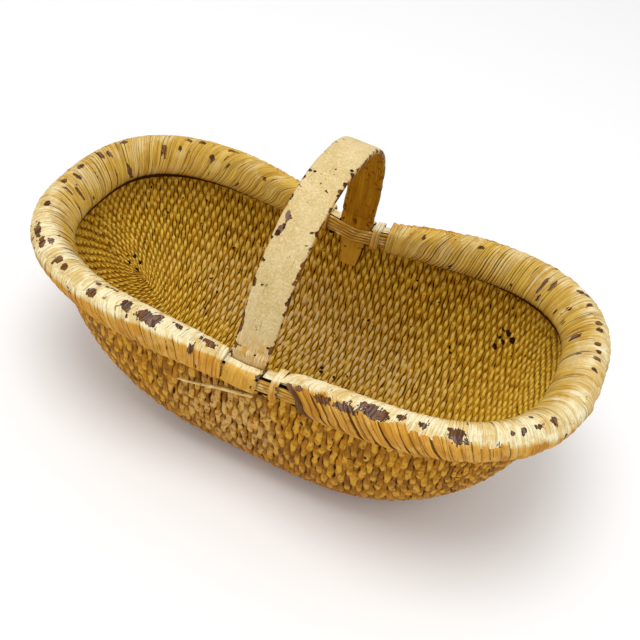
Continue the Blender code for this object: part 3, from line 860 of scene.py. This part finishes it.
def strand_curves(pitch):
    """Curves that cross the bowl from hem to hem.

    Their points, tangents, outward normals, the gap to the next curve at each point, and how far
    each point is from the keel.
    """
    keel, marks = strand_keels(pitch)
    hem = Section(marks).hem()
    keel, hem_x, hem_y = keel[:, None], hem[:, :1], hem[:, 1:2]
    across = signed_power(np.sin(np.linspace(-1, 1, STRAND_SAMPLES) * pi / 2), STRAND_SPREAD)
    x = keel + (hem_x - keel) * np.abs(across) ** STRAND_BEND
    offset = FAN_OFFSET * smooth((FAN_END_X - keel) / (FAN_END_X - FAN_FOCUS_X))
    y = hem_y * across + offset * (1 - np.abs(across))
    points = stacked(x, y, bowl_height(x, y))
    tangent = unit(np.gradient(points, axis=1))
    sideways = np.gradient(points, axis=0)
    normal = unit(np.cross(tangent, sideways))
    inside = stacked(keel * 0.8, 0, 0.25)
    facing = np.sum(normal * (points - inside), axis=-1)
    normal = scaled(normal, np.where(facing < 0, -1, 1))
    sideways = sideways - scaled(tangent, np.sum(sideways * tangent, axis=-1))
    gap = np.linalg.norm(sideways, axis=-1, keepdims=True)
    far = distances(points)
    return points, tangent, normal, gap, far - far[:, STRAND_SAMPLES // 2, None]


def uneven(strands, knots):
    """Smooth random waves along each strand."""
    values = random.normal(0, 1, (strands, knots, 1))
    at = np.linspace(0, knots - 1, STRAND_ROWS)
    low = np.minimum(at.astype(int), knots - 2)
    return mix(values[:, low], values[:, low + 1], smooth(at - low)[:, None])


def weave_strands(pitch, side, cover, swell, crest, under, edge, sway, rough, stretch, fullness):
    """Strands on one side of the shell (1 outside, -1 inside), each over one rib and under the next.

    crest, under and edge are heights over the shell's face. cover is a strand's width as a share of
    the pitch, swell how much wider it is over a rib and narrower under one, rough how uneven it is
    and stretch how far apart its ribs are. fullness is the share of its length that lies on top.
    """
    *tables, far = strand_curves(pitch)
    strands = len(far)
    first, last = far[:, :1], far[:, -1:]
    spacing = stretch * np.maximum((last - first) / 2 / RIBS_ACROSS, LEAST_RIB_SPACING)
    where = mix(first - STRAND_OVERRUN, last + STRAND_OVERRUN, np.linspace(0, 1, STRAND_ROWS))
    read = [np.stack([read_line(*line) for line in zip(where, far, table)]) for table in tables]
    base, along, out, room = (table[:, :, None] for table in read)
    out, room = unit(out), room[..., 0]
    first, last, spacing, where = (value[:, :, None] for value in (first, last, spacing, where))
    base = base + scaled(along, where - np.clip(where, first, last))
    aside = unit(np.cross(out, along))
    beat = pi * (where / spacing + np.arange(strands)[:, None, None])
    beat = beat + UNEVEN_BEAT * rough * uneven(strands, 60)
    over = smooth(smooth(fullness + 0.5 * np.cos(beat)))
    half_width = 0.5 * room * (cover + swell * (2 * over - 1))
    half_width = half_width * (1 + UNEVEN_WIDTH * rough * uneven(strands, 90))
    crowded = 1 - smooth(room / pitch)
    height = mix(under, crest, over) + UNEVEN_HEIGHT * rough * uneven(strands, 70) * (1 + 3 * crowded)
    lift = edge + (height - edge) * STRAND_ROUND
    if side < 0:
        lift = -WALL - lift
    offset = half_width * STRAND_ACROSS + sway * room * uneven(strands, 60)
    made = base + scaled(aside, offset) + scaled(out, lift)
    made[..., 2] = np.maximum(made[..., 2], FLOOR_CLEARANCE)
    crest_index = np.floor(beat / (2 * pi) + 0.5).astype(int)
    crest_index -= crest_index.min()
    tones = np.clip(random.normal(0.5, STRAND_TONE_SPREAD, (strands, crest_index.max() + 1, 1)), 0, 1)
    values = {
        "tone": np.take_along_axis(tones, crest_index, axis=1),
        # crown is low at a strand's edges and where it dives under a rib, where the material paints shade
        "crown": (0.35 + 0.65 * over) * STRAND_ROUND,
        # tip marks the end of each crest that gets a painted highlight
        "tip": smooth(0.5 + 0.5 * np.sin(beat + 0.4)),
        # hole: where the inside gets dark spots of painted shade for holes
        "hole": soft_patches(made / MM, HOLES) if side < 0 else 0,
        # low: where the outside gets painted shade, darker towards the ground
        "low": ramp(made[..., 2], LOW_TOP, -LOW_TOP) if side > 0 else 0,
        "fibre": (where, offset, random.uniform(0, 50, (strands, 1, 1))),
    }
    return made, values


def make_weave(name, look, form):
    """The strands of one side as two pieces, left and right of the handle."""
    made, values = weave_strands(**form)
    flip = form["side"] < 0
    is_left = made[:, STRAND_ROWS // 2, 2, 0] < HANDLE_X
    for part, keep in (("left", is_left), ("right", ~is_left)):
        piece = f"{name}_{part}"
        build_piece(piece, "woven_shell", "woven_willow", look, made, values, keep, flip=flip)


def make_backing(look):
    """A thin sheet in the middle of the wall, behind the floats of both sides, dark to stand for the shade
    in the gaps between them.
    """
    marks = np.arange(BACKING_STATIONS) * RIM_LENGTH / BACKING_STATIONS
    section = Section(marks)
    rings = [section.at(WALL_TOP_SHARE * section.half_width, section.wall_out())]
    rings += [wall_point(marks, sin(turn)) for turn in np.linspace(0, pi / 2, BACKING_RINGS)]
    outer = np.stack(rings)
    around = np.roll(outer, -1, axis=1) - np.roll(outer, 1, axis=1)
    normal = unit(np.cross(np.gradient(outer, axis=0), around))
    normal[-1] = -UP
    floor_share = np.linspace(1, 0, BACKING_FLOOR_RINGS)[1:, None, None]
    layers = []
    for inset in (BACKING_INSET, BACKING_INSET + BACKING_THICKNESS):
        sheet = outer - normal * inset
        centre = sheet[-1].mean(axis=0)
        disc = centre + (sheet[-1] - centre) * floor_share
        disc[..., 2] = inset
        layers.append(np.concatenate([sheet, disc]))
    skin = np.concatenate([layers[0][::-1], layers[1]])
    build_piece("weave_backing", "woven_shell", "woven_willow", look, skin, {}, closed=True)


def strip_edges(start, end, width, spread):
    """Uneven side-by-side strips between two marks: their middles and half widths."""
    count = max(1, int(round((end - start) / width)))
    widths = 1 + random.uniform(-spread, spread, count)
    widths *= (end - start) / widths.sum()
    edges = start + np.concatenate([[0], np.cumsum(widths)])
    return (edges[1:] + edges[:-1]) / 2, widths / 2


def border_patches(patches, mark, angle, half_width):
    from_handle = np.mod(mark - NEAR_HANDLE + NEAR_START, RIM_LENGTH) - NEAR_START
    field = 0
    for place, at_angle, half_length, half_girth in patches:
        along = (from_handle / MM - place) / half_length
        around = (angle - radians(at_angle)) * half_width / MM / half_girth
        field = np.maximum(field, 1 - 0.5 * np.hypot(along, around))
    return field


def always(value):
    """A measure of the border that is the same everywhere."""
    return lambda *_: value


def wrap_strips(
    name, node, look, start, end, width, first, last, relief, paint, slant=always(0),
    lift=always(0), shade=always(0), steps=26, spread=0.3, ragged=0, overlap=1.02, point=0,
    groove=0.0012, shingle=0.3, jagged=0, bare_strips=(),
):
    """Strips laid side by side round the border's section, each a crowned bar tilted like a shingle.

    first and last give the angles where the strips begin and end, uneven by jagged and ragged.
    point is how much narrower a strip gets at its end, and shingle how far it tilts.
    """
    middle, half = (values[:, None, None] for values in strip_edges(start, end, width, spread))
    count = len(middle)
    each = (count, 1, 1)
    here = Section(middle)
    share = np.linspace(0, 1, steps)[:, None]
    begins = first(here) + random.uniform(0, jagged, each)
    ends = last(here) + random.uniform(-ragged, ragged, each)
    angle = mix(begins, ends, share)
    wander = np.cumsum(random.normal(0, 1, (count, steps, 1)), axis=1) / sqrt(steps)
    narrow = 1 - point * ramp(share, POINT_START, POINT_LENGTH)
    mark = middle + slant(here) * angle / pi + STRIP_WANDER * half * wander
    mark = mark + half * narrow * overlap * PROFILE_ACROSS
    section = Section(mark)
    strength = relief(here, angle)
    depth = random.uniform(0, 1, count + 1) ** 1.4 * 0.85 + 0.15
    side_depth = np.where(PROFILE_ACROSS < 0, depth[:-1, None, None], depth[1:, None, None])
    cut_in = side_depth * (1 - PROFILE_CROWN) * strength
    tilt = shingle * PROFILE_ACROSS + random.normal(0, STRIP_TILT_SPREAD, each)
    height = lift(share) + groove * (0.6 - cut_in + tilt * strength) - SKIRT_DEPTH * PROFILE_SKIRT
    points = section.on_oval(angle, -height)
    tone = np.clip(random.normal(0.5, STRIP_TONE_SPREAD, each), 0, 1)
    # The start of a jagged strip, tucked under the band, gets a low crown and so painted shade
    dark_start = min(1, 4 * jagged) * (1 - smooth(share / 0.07))
    chip = border_patches(CHIPS, mark, angle, section.half_width)
    for i in bare_strips:
        chip[i] = np.maximum(chip[i], ramp(angle[i], radians(10), radians(5)))
    far = distances(points[:, :, 3])
    values = {
        "tone": tone,
        "crown": (1 - cut_in) * (1 - dark_start),
        "paint": paint(here, angle),
        "chip": chip,
        "shade": shade(here, angle),
        "hole": border_patches(SPOTS, mark, angle, section.half_width),
        "fibre": (far[..., None], half * PROFILE_ACROSS, random.uniform(0, 50, each)),
    }
    build_piece(name, node, "wrapped_strips", look, points, values)


def right_share(here):
    """0 left of the handle and 1 right of it."""
    return ramp(here.from_handle, -0.06, 0.08)


def near_share(here):
    """1 along the near side, falling to 0 round the ends."""
    return smooth((0.25 - here.outward[..., 1]) / 0.9)


def inner_slant(here):
    """How far a strip leans along the border: most by the handle, and further on at the far left."""
    far_left = (1 - near_share(here)) * (1 - right_share(here))
    return -0.046 * (1 - smooth(np.abs(here.from_handle) / mix(0.27, 0.50, far_left)))


def outer_slant(here):
    upright = ramp(np.abs(here.from_handle), 0.12, 0.17)
    return mix(0.020, 0.042, right_share(here)) * (1 - upright)


def inner_relief(here, angle):
    """Deep grooves inside, filled by paint on top of the near side."""
    on_top = ramp(angle, radians(-60), radians(45))
    return mix(1, mix(0.75, 0.14, near_share(here)), on_top)


def outer_relief(here, angle):
    """Deep grooves down the outside, deeper right of the handle."""
    return mix(0.45, 1, right_share(here)) * mix(0.5, 1.5, ramp(angle, radians(4), radians(30)))


def inner_paint(here, angle):
    """How much cream paint lies there: thick on top of the near side, thin towards the crease."""
    pale = np.maximum(near_share(here), 0.7 * ramp(here.centre[..., 0], 0.14, 0.14))
    return ramp(angle, radians(-152), radians(118)) * mix(0.50, 1, pale)


def outer_paint(here, angle):
    """The paint ends higher up right of the handle, but not at the right end."""
    at_right_end = ramp(here.centre[..., 0], 0.22, 0.08)
    edge = np.radians(mix(mix(30, -6, right_share(here)), 34, at_right_end))
    return mix(0.75, 1, near_share(here)) * (1 - ramp(angle, edge, radians(32)))


def crease_shade(_, angle):
    """1 underneath and fading up the inner face, dark enough there to draw the crease."""
    return 1 - ramp(angle, radians(-156), radians(24))


def outer_lift(share):
    """The outer strips start tucked in at the top and rise over the inner ones."""
    return 0.0005 * smooth(share / 0.20) - 0.0011 * (1 - smooth(share / 0.10))


def eased(slant, end):
    """A slant that turns upright where the wrapping ends."""
    last = rim_point(end)

    def leaning(here):
        return slant(here) * smooth(np.linalg.norm(here.centre - last, axis=-1) / SLANT_EASE)

    return leaning


def border_start(bare_rods):
    """How far from the handle's middle the wrapped border starts, past the upright wrap."""
    return HANDLE_HALF + FOOT_WRAP_GAP + FOOT_WRAP_WIDTH + bare_rods + GAP


def make_border(inner_look, outer_look):
    apart = border_start(EXPOSED_ROD_LENGTH)
    for side, start, end, bare_strips in (
        ("left", FAR_HANDLE + apart, NEAR_HANDLE - border_start(0), ()),
        ("right", NEAR_HANDLE + apart, FAR_HANDLE + RIM_LENGTH - apart, (0,)),
    ):
        node = f"border_wrap_{side}"
        wrap_strips(
            f"inner_strips_{side}", node, inner_look, start, end, INNER_STRIP_WIDTH,
            inner_lip, always(INNER_STRIP_END), inner_relief, inner_paint,
            slant=eased(inner_slant, end), shade=crease_shade, steps=34, spread=0.35,
        )
        wrap_strips(
            f"outer_strips_{side}", node, outer_look, start, end, OUTER_STRIP_WIDTH,
            always(OUTER_STRIP_START), outer_lip, outer_relief, outer_paint,
            slant=eased(outer_slant, end), lift=outer_lift, steps=30, ragged=radians(5), point=0.5,
            overlap=1.08, groove=0.0017, shingle=0.45, jagged=radians(18), bare_strips=bare_strips,
        )


def cover_top(here):
    """Where the foot cover begins, just outside the rim's top."""
    return here.oval_angle(FOOT_COVER_TOP)


def wrap_paint(_, angle):
    return 0.30 + 0.80 * (1 - ramp(np.abs(angle), 0.3, 0.5))


def cover_paint(_, angle):
    return 1 - ramp(angle, radians(10), radians(30))


def make_foot_bindings(look, cover_look):
    """The upright wraps: beside the handle before it, and against the border after it."""
    half = FOOT_WRAP_WIDTH / 2
    before = HANDLE_HALF + FOOT_WRAP_GAP + half
    after = before + EXPOSED_ROD_LENGTH
    cover = HANDLE_HALF - FOOT_COVER_MARGIN
    sides = (("near", NEAR_HANDLE, "left", "right"), ("far", FAR_HANDLE, "right", "left"))
    for side, handle, name_before, name_after in sides:
        for name, place in ((name_before, handle - before), (name_after, handle + after)):
            wrap_strips(
                f"wrap_{side}_{name}", f"foot_wrap_{side}_{name}", look, place - half, place + half,
                FOOT_STRIP_WIDTH, inner_lip, outer_lip, always(0.8), wrap_paint, steps=44,
            )
        wrap_strips(
            f"cover_{side}", f"foot_cover_{side}", cover_look, handle - cover, handle + cover,
            2 * cover, cover_top, outer_lip, always(0.3), cover_paint, overlap=1, point=0.12,
        )


def make_top_strips(look):
    """The flat strips along the top of the rods, bare to see beside the handle feet."""
    away = HANDLE_HALF + GAP
    rods_top = ((INNER_RODS - 1) * ROD_PITCH + ROD_DIAMETER) / 2
    across = TOP_STRIP_WIDTH / 2 * TOP_STRIP_OUT
    for side, start, end in (
        ("left", FAR_HANDLE + away, NEAR_HANDLE - away),
        ("right", NEAR_HANDLE + away, FAR_HANDLE + RIM_LENGTH - away),
    ):
        marks = np.linspace(start, end, TOP_STRIP_ROWS)[:, None]
        section = Section(marks)
        low = np.maximum(rods_top + GAP, WALL_TOP_SHARE * section.half_width + 2 * GAP)
        points = section.at(low + TOP_STRIP_THICKNESS * TOP_STRIP_UP, across)
        # The crown is low on the strip's sides and underneath, so the material paints shade there
        values = {
            "tone": 0.7, "crown": mix(0.3, 1, TOP_STRIP_UP), "paint": 1, "chip": 0, "shade": 0, "hole": 0,
            "fibre": (marks - start, across, 0),
        }
        name = f"top_strip_{side}"
        build_piece(name, f"rim_{name}", "wrapped_strips", look, points, values, closed=True)


def make_tube(name, node, look, path, radius, closed, sides=12):
    """A round rod along a path of points, with its own radius at each."""
    ahead = np.roll(path, -1, axis=0) - np.roll(path, 1, axis=0) if closed else np.gradient(path, axis=0)
    along = unit(ahead)[:, None]
    aside = unit(np.cross(along, UP))
    above = np.cross(aside, along)
    turn = np.linspace(0, 2 * pi, sides, endpoint=False)
    ring = scaled(aside, np.cos(turn)) + scaled(above, np.sin(turn))
    points = path[:, None] + ring * radius[:, None, None]
    if closed:
        points = np.concatenate([points, points[:1]])
    fibre = (distances(points[:, 0])[:, None], turn * np.mean(radius), 0)
    build_piece(name, node, "rim_rods", look, points, {"fibre": fibre}, closed=True)


def foot_faces():
    """How far out from the rim line the inner and outer faces of the handle's foot are."""
    outer = float(Section(NEAR_HANDLE).wall_out()) - WALL - GAP
    return outer - HANDLE_FOOT_THICKNESS, outer


def rod_path(up, side, slack, marks):
    """A rod inside (-1) or outside (1) the shell's top edge, bowed round the handle's feet."""
    section = Section(marks)
    inset = STRIP_THICKNESS + GAP + ROD_DIAMETER / 2 + mix(*slack, section.growth)
    out = side * section.oval_reach(up, inset)
    if side < 0:
        bow = np.abs(section.centre[..., 1]) - abs(rim_point(NEAR_HANDLE)[1])
        seat = foot_faces()[0] - GAP - ROD_DIAMETER / 2 - bow
        past_foot = ramp(np.abs(section.from_handle), HANDLE_HALF, FOOT_WRAP_GAP)
        out = mix(seat, out, past_foot)
    return section.at(up, out)


def make_rods(look):
    marks = np.arange(ROD_STATIONS) * RIM_LENGTH / ROD_STATIONS
    for kind, count, side, slack in (
        ("inner", INNER_RODS, -1, INNER_ROD_SLACK),
        ("outer", OUTER_RODS, 1, OUTER_ROD_SLACK),
    ):
        for i in range(count):
            path = rod_path((i - (count - 1) / 2) * ROD_PITCH, side, slack, marks)
            radius = ROD_DIAMETER / 2 * (1 + random.normal(0, ROD_UNEVENNESS, ROD_STATIONS))
            make_tube(f"{kind}_rod_{i + 1}", f"{kind}_rim_rod_{i + 1}", look, path, radius, True)


def make_loose_rod(look):
    """The rod end that hangs off the shell under the near border, tapered and slightly knotty."""
    share = np.linspace(0, 1, LOOSE_STEPS)
    mark = NEAR_HANDLE + LOOSE_START - share * LOOSE_LENGTH
    section = Section(mark)
    drop = mix(*LOOSE_DROP, share) + LOOSE_SAG * smooth(share)
    on_wall = wall_point(mark, drop / section.hem()[:, 2])
    centre = on_wall + section.outward * (LOOSE_DIAMETER[0] / 2 + 2 * GAP)
    radius = mix(*LOOSE_DIAMETER, smooth(share)) / 2
    radius = radius * (1 + LOOSE_KNOT_SHARE * np.sin(share * LOOSE_KNOT_BEAT))
    radius[[0, -1]] = LOOSE_CAP_RADIUS
    make_tube("loose_rod", "loose_rod_end", look, centre, radius, False)


def wall_shift(z):
    """How far the tail moves in at a height to follow the wall."""
    top = wall_point(NEAR_HANDLE, 0)
    here = wall_point(NEAR_HANDLE, 1 - z / top[2])
    return (abs(top[1]) - np.abs(here[..., 1])) * TAIL_FOLLOW


def handle_stations():
    """Centres, widths and thicknesses of the strap from the near tail's tip to the far tail's tip."""
    foot_y = abs(rim_point(NEAR_HANDLE)[1]) + sum(foot_faces()) / 2
    half_width = float(Section(NEAR_HANDLE).half_width)
    under_rim, over_rim = RIM_HEIGHT - half_width, RIM_HEIGHT + half_width
    tip = under_rim - TAIL_LENGTH
    shoulder = tip + TAIL_POINT
    levels = (
        tip + TAIL_TIP_STEPS,
        np.linspace(shoulder, over_rim, FOOT_ROWS),
        np.linspace(over_rim, over_rim + FOOT_STRAIGHT, STRAIGHT_ROWS)[1:-1],
    )
    z = np.concatenate(levels)
    rounding = np.sqrt(1 - np.clip((shoulder - z) / TAIL_POINT, 0, 1) ** 2)
    tail = TAIL_WIDTH_AT_TIP * mix(TAIL_TIP_SHARE, 1, rounding)
    tail = mix(tail, TAIL_WIDTH_AT_RIM, np.maximum(0, z - shoulder) / (TAIL_LENGTH - TAIL_POINT))
    foot = mix(TAIL_WIDTH_AT_RIM, HANDLE_WIDTH, ramp(z, under_rim, over_rim - under_rim))
    y = wall_shift(np.minimum(z, under_rim + TAIL_FOLLOW_TOP)) - foot_y
    straight = stacked(HANDLE_X, y, z, np.where(z < under_rim, tail, foot), HANDLE_FOOT_THICKNESS)
    first = asin(((over_rim + FOOT_STRAIGHT - RIM_HEIGHT) / HANDLE_HEIGHT) ** (HANDLE_SQUARENESS / 2))
    span, lift = rounded(np.linspace(first, pi / 2, ARCH_ROWS), HANDLE_SQUARENESS)
    ease = ramp(HANDLE_HEIGHT * lift, over_rim - RIM_HEIGHT, FOOT_EASE)
    y = -(foot_y - HANDLE_DRAW_IN * ease) * span
    thickness = mix(HANDLE_FOOT_THICKNESS, HANDLE_THICKNESS, ease)
    x = HANDLE_X + HANDLE_LEAN * lift * ease
    arch = stacked(x, y, RIM_HEIGHT + HANDLE_HEIGHT * lift, HANDLE_WIDTH, thickness)
    near = np.concatenate([straight, arch])
    return np.concatenate([near, near[-2::-1] * np.array([1, -1, 1, 1, 1])]), over_rim


def make_handle(look):
    """The strap with eased, slightly worn edges."""
    coarse_stations, rim_top = handle_stations()
    coarse = distances(coarse_stations[:, :3])
    coarse_along = unit(np.gradient(coarse_stations[:, :3], axis=0))
    far = np.unique(np.concatenate([coarse, np.linspace(0, coarse[-1], HANDLE_ROWS)]))
    far = np.pad(far, len(CAP_SHARES), mode="edge")
    stations = read_line(far, coarse, coarse_stations)
    along = unit(read_line(far, coarse, coarse_along))
    centre, width, thickness = stations[:, None, :3], stations[:, 3:4], stations[:, 4:]
    outward = unit(np.cross(RIGHT, along))[:, None]
    face_across = np.sin(np.linspace(-pi / 2, pi / 2, HANDLE_COLUMNS))
    face_out = (1 - np.abs(face_across) ** HANDLE_FACE_FLATNESS) ** HANDLE_EDGE_POWER
    across = np.concatenate([face_across, face_across[-2:0:-1]])
    out = np.concatenate([face_out, -face_out[-2:0:-1]])
    path = far[:, None]
    nick_places = np.linspace(0, far[-1], NICK_SPOTS)
    nicks = [random.uniform(0, 1, NICK_SPOTS) for _ in range(2)]
    right_nicks, left_nicks = (np.interp(path, nick_places, sizes) for sizes in nicks)
    nick = np.where(across > 0, right_nicks, left_nicks) ** 3 * NICK_DEPTH
    sideways = across * (width / 2 - nick)
    points = centre + scaled(RIGHT, sideways) + scaled(outward, out * thickness / 2)
    half = len(far) // 2
    height = stations[:, 2:3]
    from_rim = path - np.interp(rim_top, height[:half, 0], far[:half])
    place = stacked(from_rim, sideways) / MM
    values = {
        "inside": smooth((0.1 - out) / 0.5),
        "low": ramp(from_rim, WEATHERED_TOP, -WEATHERED_FADE) * (stations[:, 1:2] < 0),
        "tail": ramp(height, rim_top, -TAIL_FADE),
        "edge": np.abs(across) ** HANDLE_EDGE_WEAR_POWER,
        "chip": soft_patches(place, STRAP_CHIPS) * (out > -0.5),
        "hole": soft_patches(place, STRAP_SPOTS) * (out > 0),
        "fibre": (path, sideways, out),
    }
    cap = len(CAP_SHARES)
    for rows, shares in ((slice(0, cap), CAP_SHARES), (slice(-cap, None), CAP_SHARES[::-1])):
        middle = points[rows].mean(axis=(0, 1))
        points[rows] = middle + (points[rows] - middle) * shares[:, None, None]
    build_piece("handle", "handle_bow", "painted_strap", look, points, values, closed=True)


def make_floor():
    data = bpy.data.meshes.new("floor")
    size = FLOOR_HALF_SIZE
    corners = [(-size, -size, 0), (size, -size, 0), (size, size, 0), (-size, size, 0)]
    data.from_pydata(corners, [], [(0, 1, 2, 3)])
    g = Graph("pale_floor")
    g.fill_in(g.shader, {"Base Color": FLOOR_COLOUR, "Roughness": FLOOR_ROUGHNESS})
    data.materials.append(g.material)
    link("floor", data)


def light_scene():
    """An even white world and one soft light above the near side."""
    world = bpy.data.worlds.new("studio")
    bpy.context.scene.world = world
    world.use_nodes = True
    background = world.node_tree.nodes["Background"]
    background.inputs["Color"].default_value = (1, 1, 1, 1)
    background.inputs["Strength"].default_value = WORLD_STRENGTH
    data = bpy.data.lights.new("key", "AREA")
    data.shape = "DISK"
    data.size = LIGHT_SIZE
    data.energy = LIGHT_WATTS
    light = link("key", data)
    light.location = LIGHT_PLACE
    light.rotation_euler = (LIGHT_TARGET - LIGHT_PLACE).to_track_quat("-Z", "Y").to_euler()
    bpy.context.scene.view_settings.view_transform = "Standard"


def make_camera():
    """A camera at the photograph's angle, aimed near the basket's middle."""
    level = Matrix.Rotation(CAMERA_AZIMUTH, 3, "Z") @ Matrix.Rotation(pi / 2 - CAMERA_ELEVATION, 3, "X")
    from_aim = level @ Vector((CAMERA_AIM_RIGHT, CAMERA_AIM_UP, CAMERA_DISTANCE))
    place = Vector((0, 0, CAMERA_AIM_HEIGHT)) + from_aim
    turned = level @ Matrix.Rotation(-CAMERA_ROLL, 3, "Z")
    data = bpy.data.cameras.new("camera")
    data.sensor_width = SENSOR_MM
    data.lens = FOCAL_PIXELS / IMAGE_PIXELS * SENSOR_MM
    camera = link("camera", data)
    camera.matrix_world = Matrix.Translation(place) @ turned.to_4x4()
    bpy.context.scene.camera = camera


def main():
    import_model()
    make_camera()
    make_floor()
    light_scene()
    make_weave("weave_inside", weave_material("woven_inside", INSIDE_TONES, INSIDE_WEAR), INSIDE_WEAVE)
    make_weave("weave_outside", weave_material("woven_outside", OUTSIDE_TONES, OUTSIDE_WEAR), OUTSIDE_WEAVE)
    make_backing(gap_shade_material())
    outer_look = strip_material("outer_strips", OUTER_STRIP_TONES, 0.70)
    make_border(strip_material("inner_strips", INNER_STRIP_TONES, 0.72), outer_look)
    make_foot_bindings(outer_look, strip_material("foot_covers", FOOT_COVER_TONES, 0.74, cracks=0.15))
    make_top_strips(outer_look)
    make_rods(rod_material("rim_rods", RIM_ROD_TONES))
    make_handle(strap_material())
    make_loose_rod(rod_material("loose_rod", LOOSE_TONES))
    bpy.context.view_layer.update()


main()
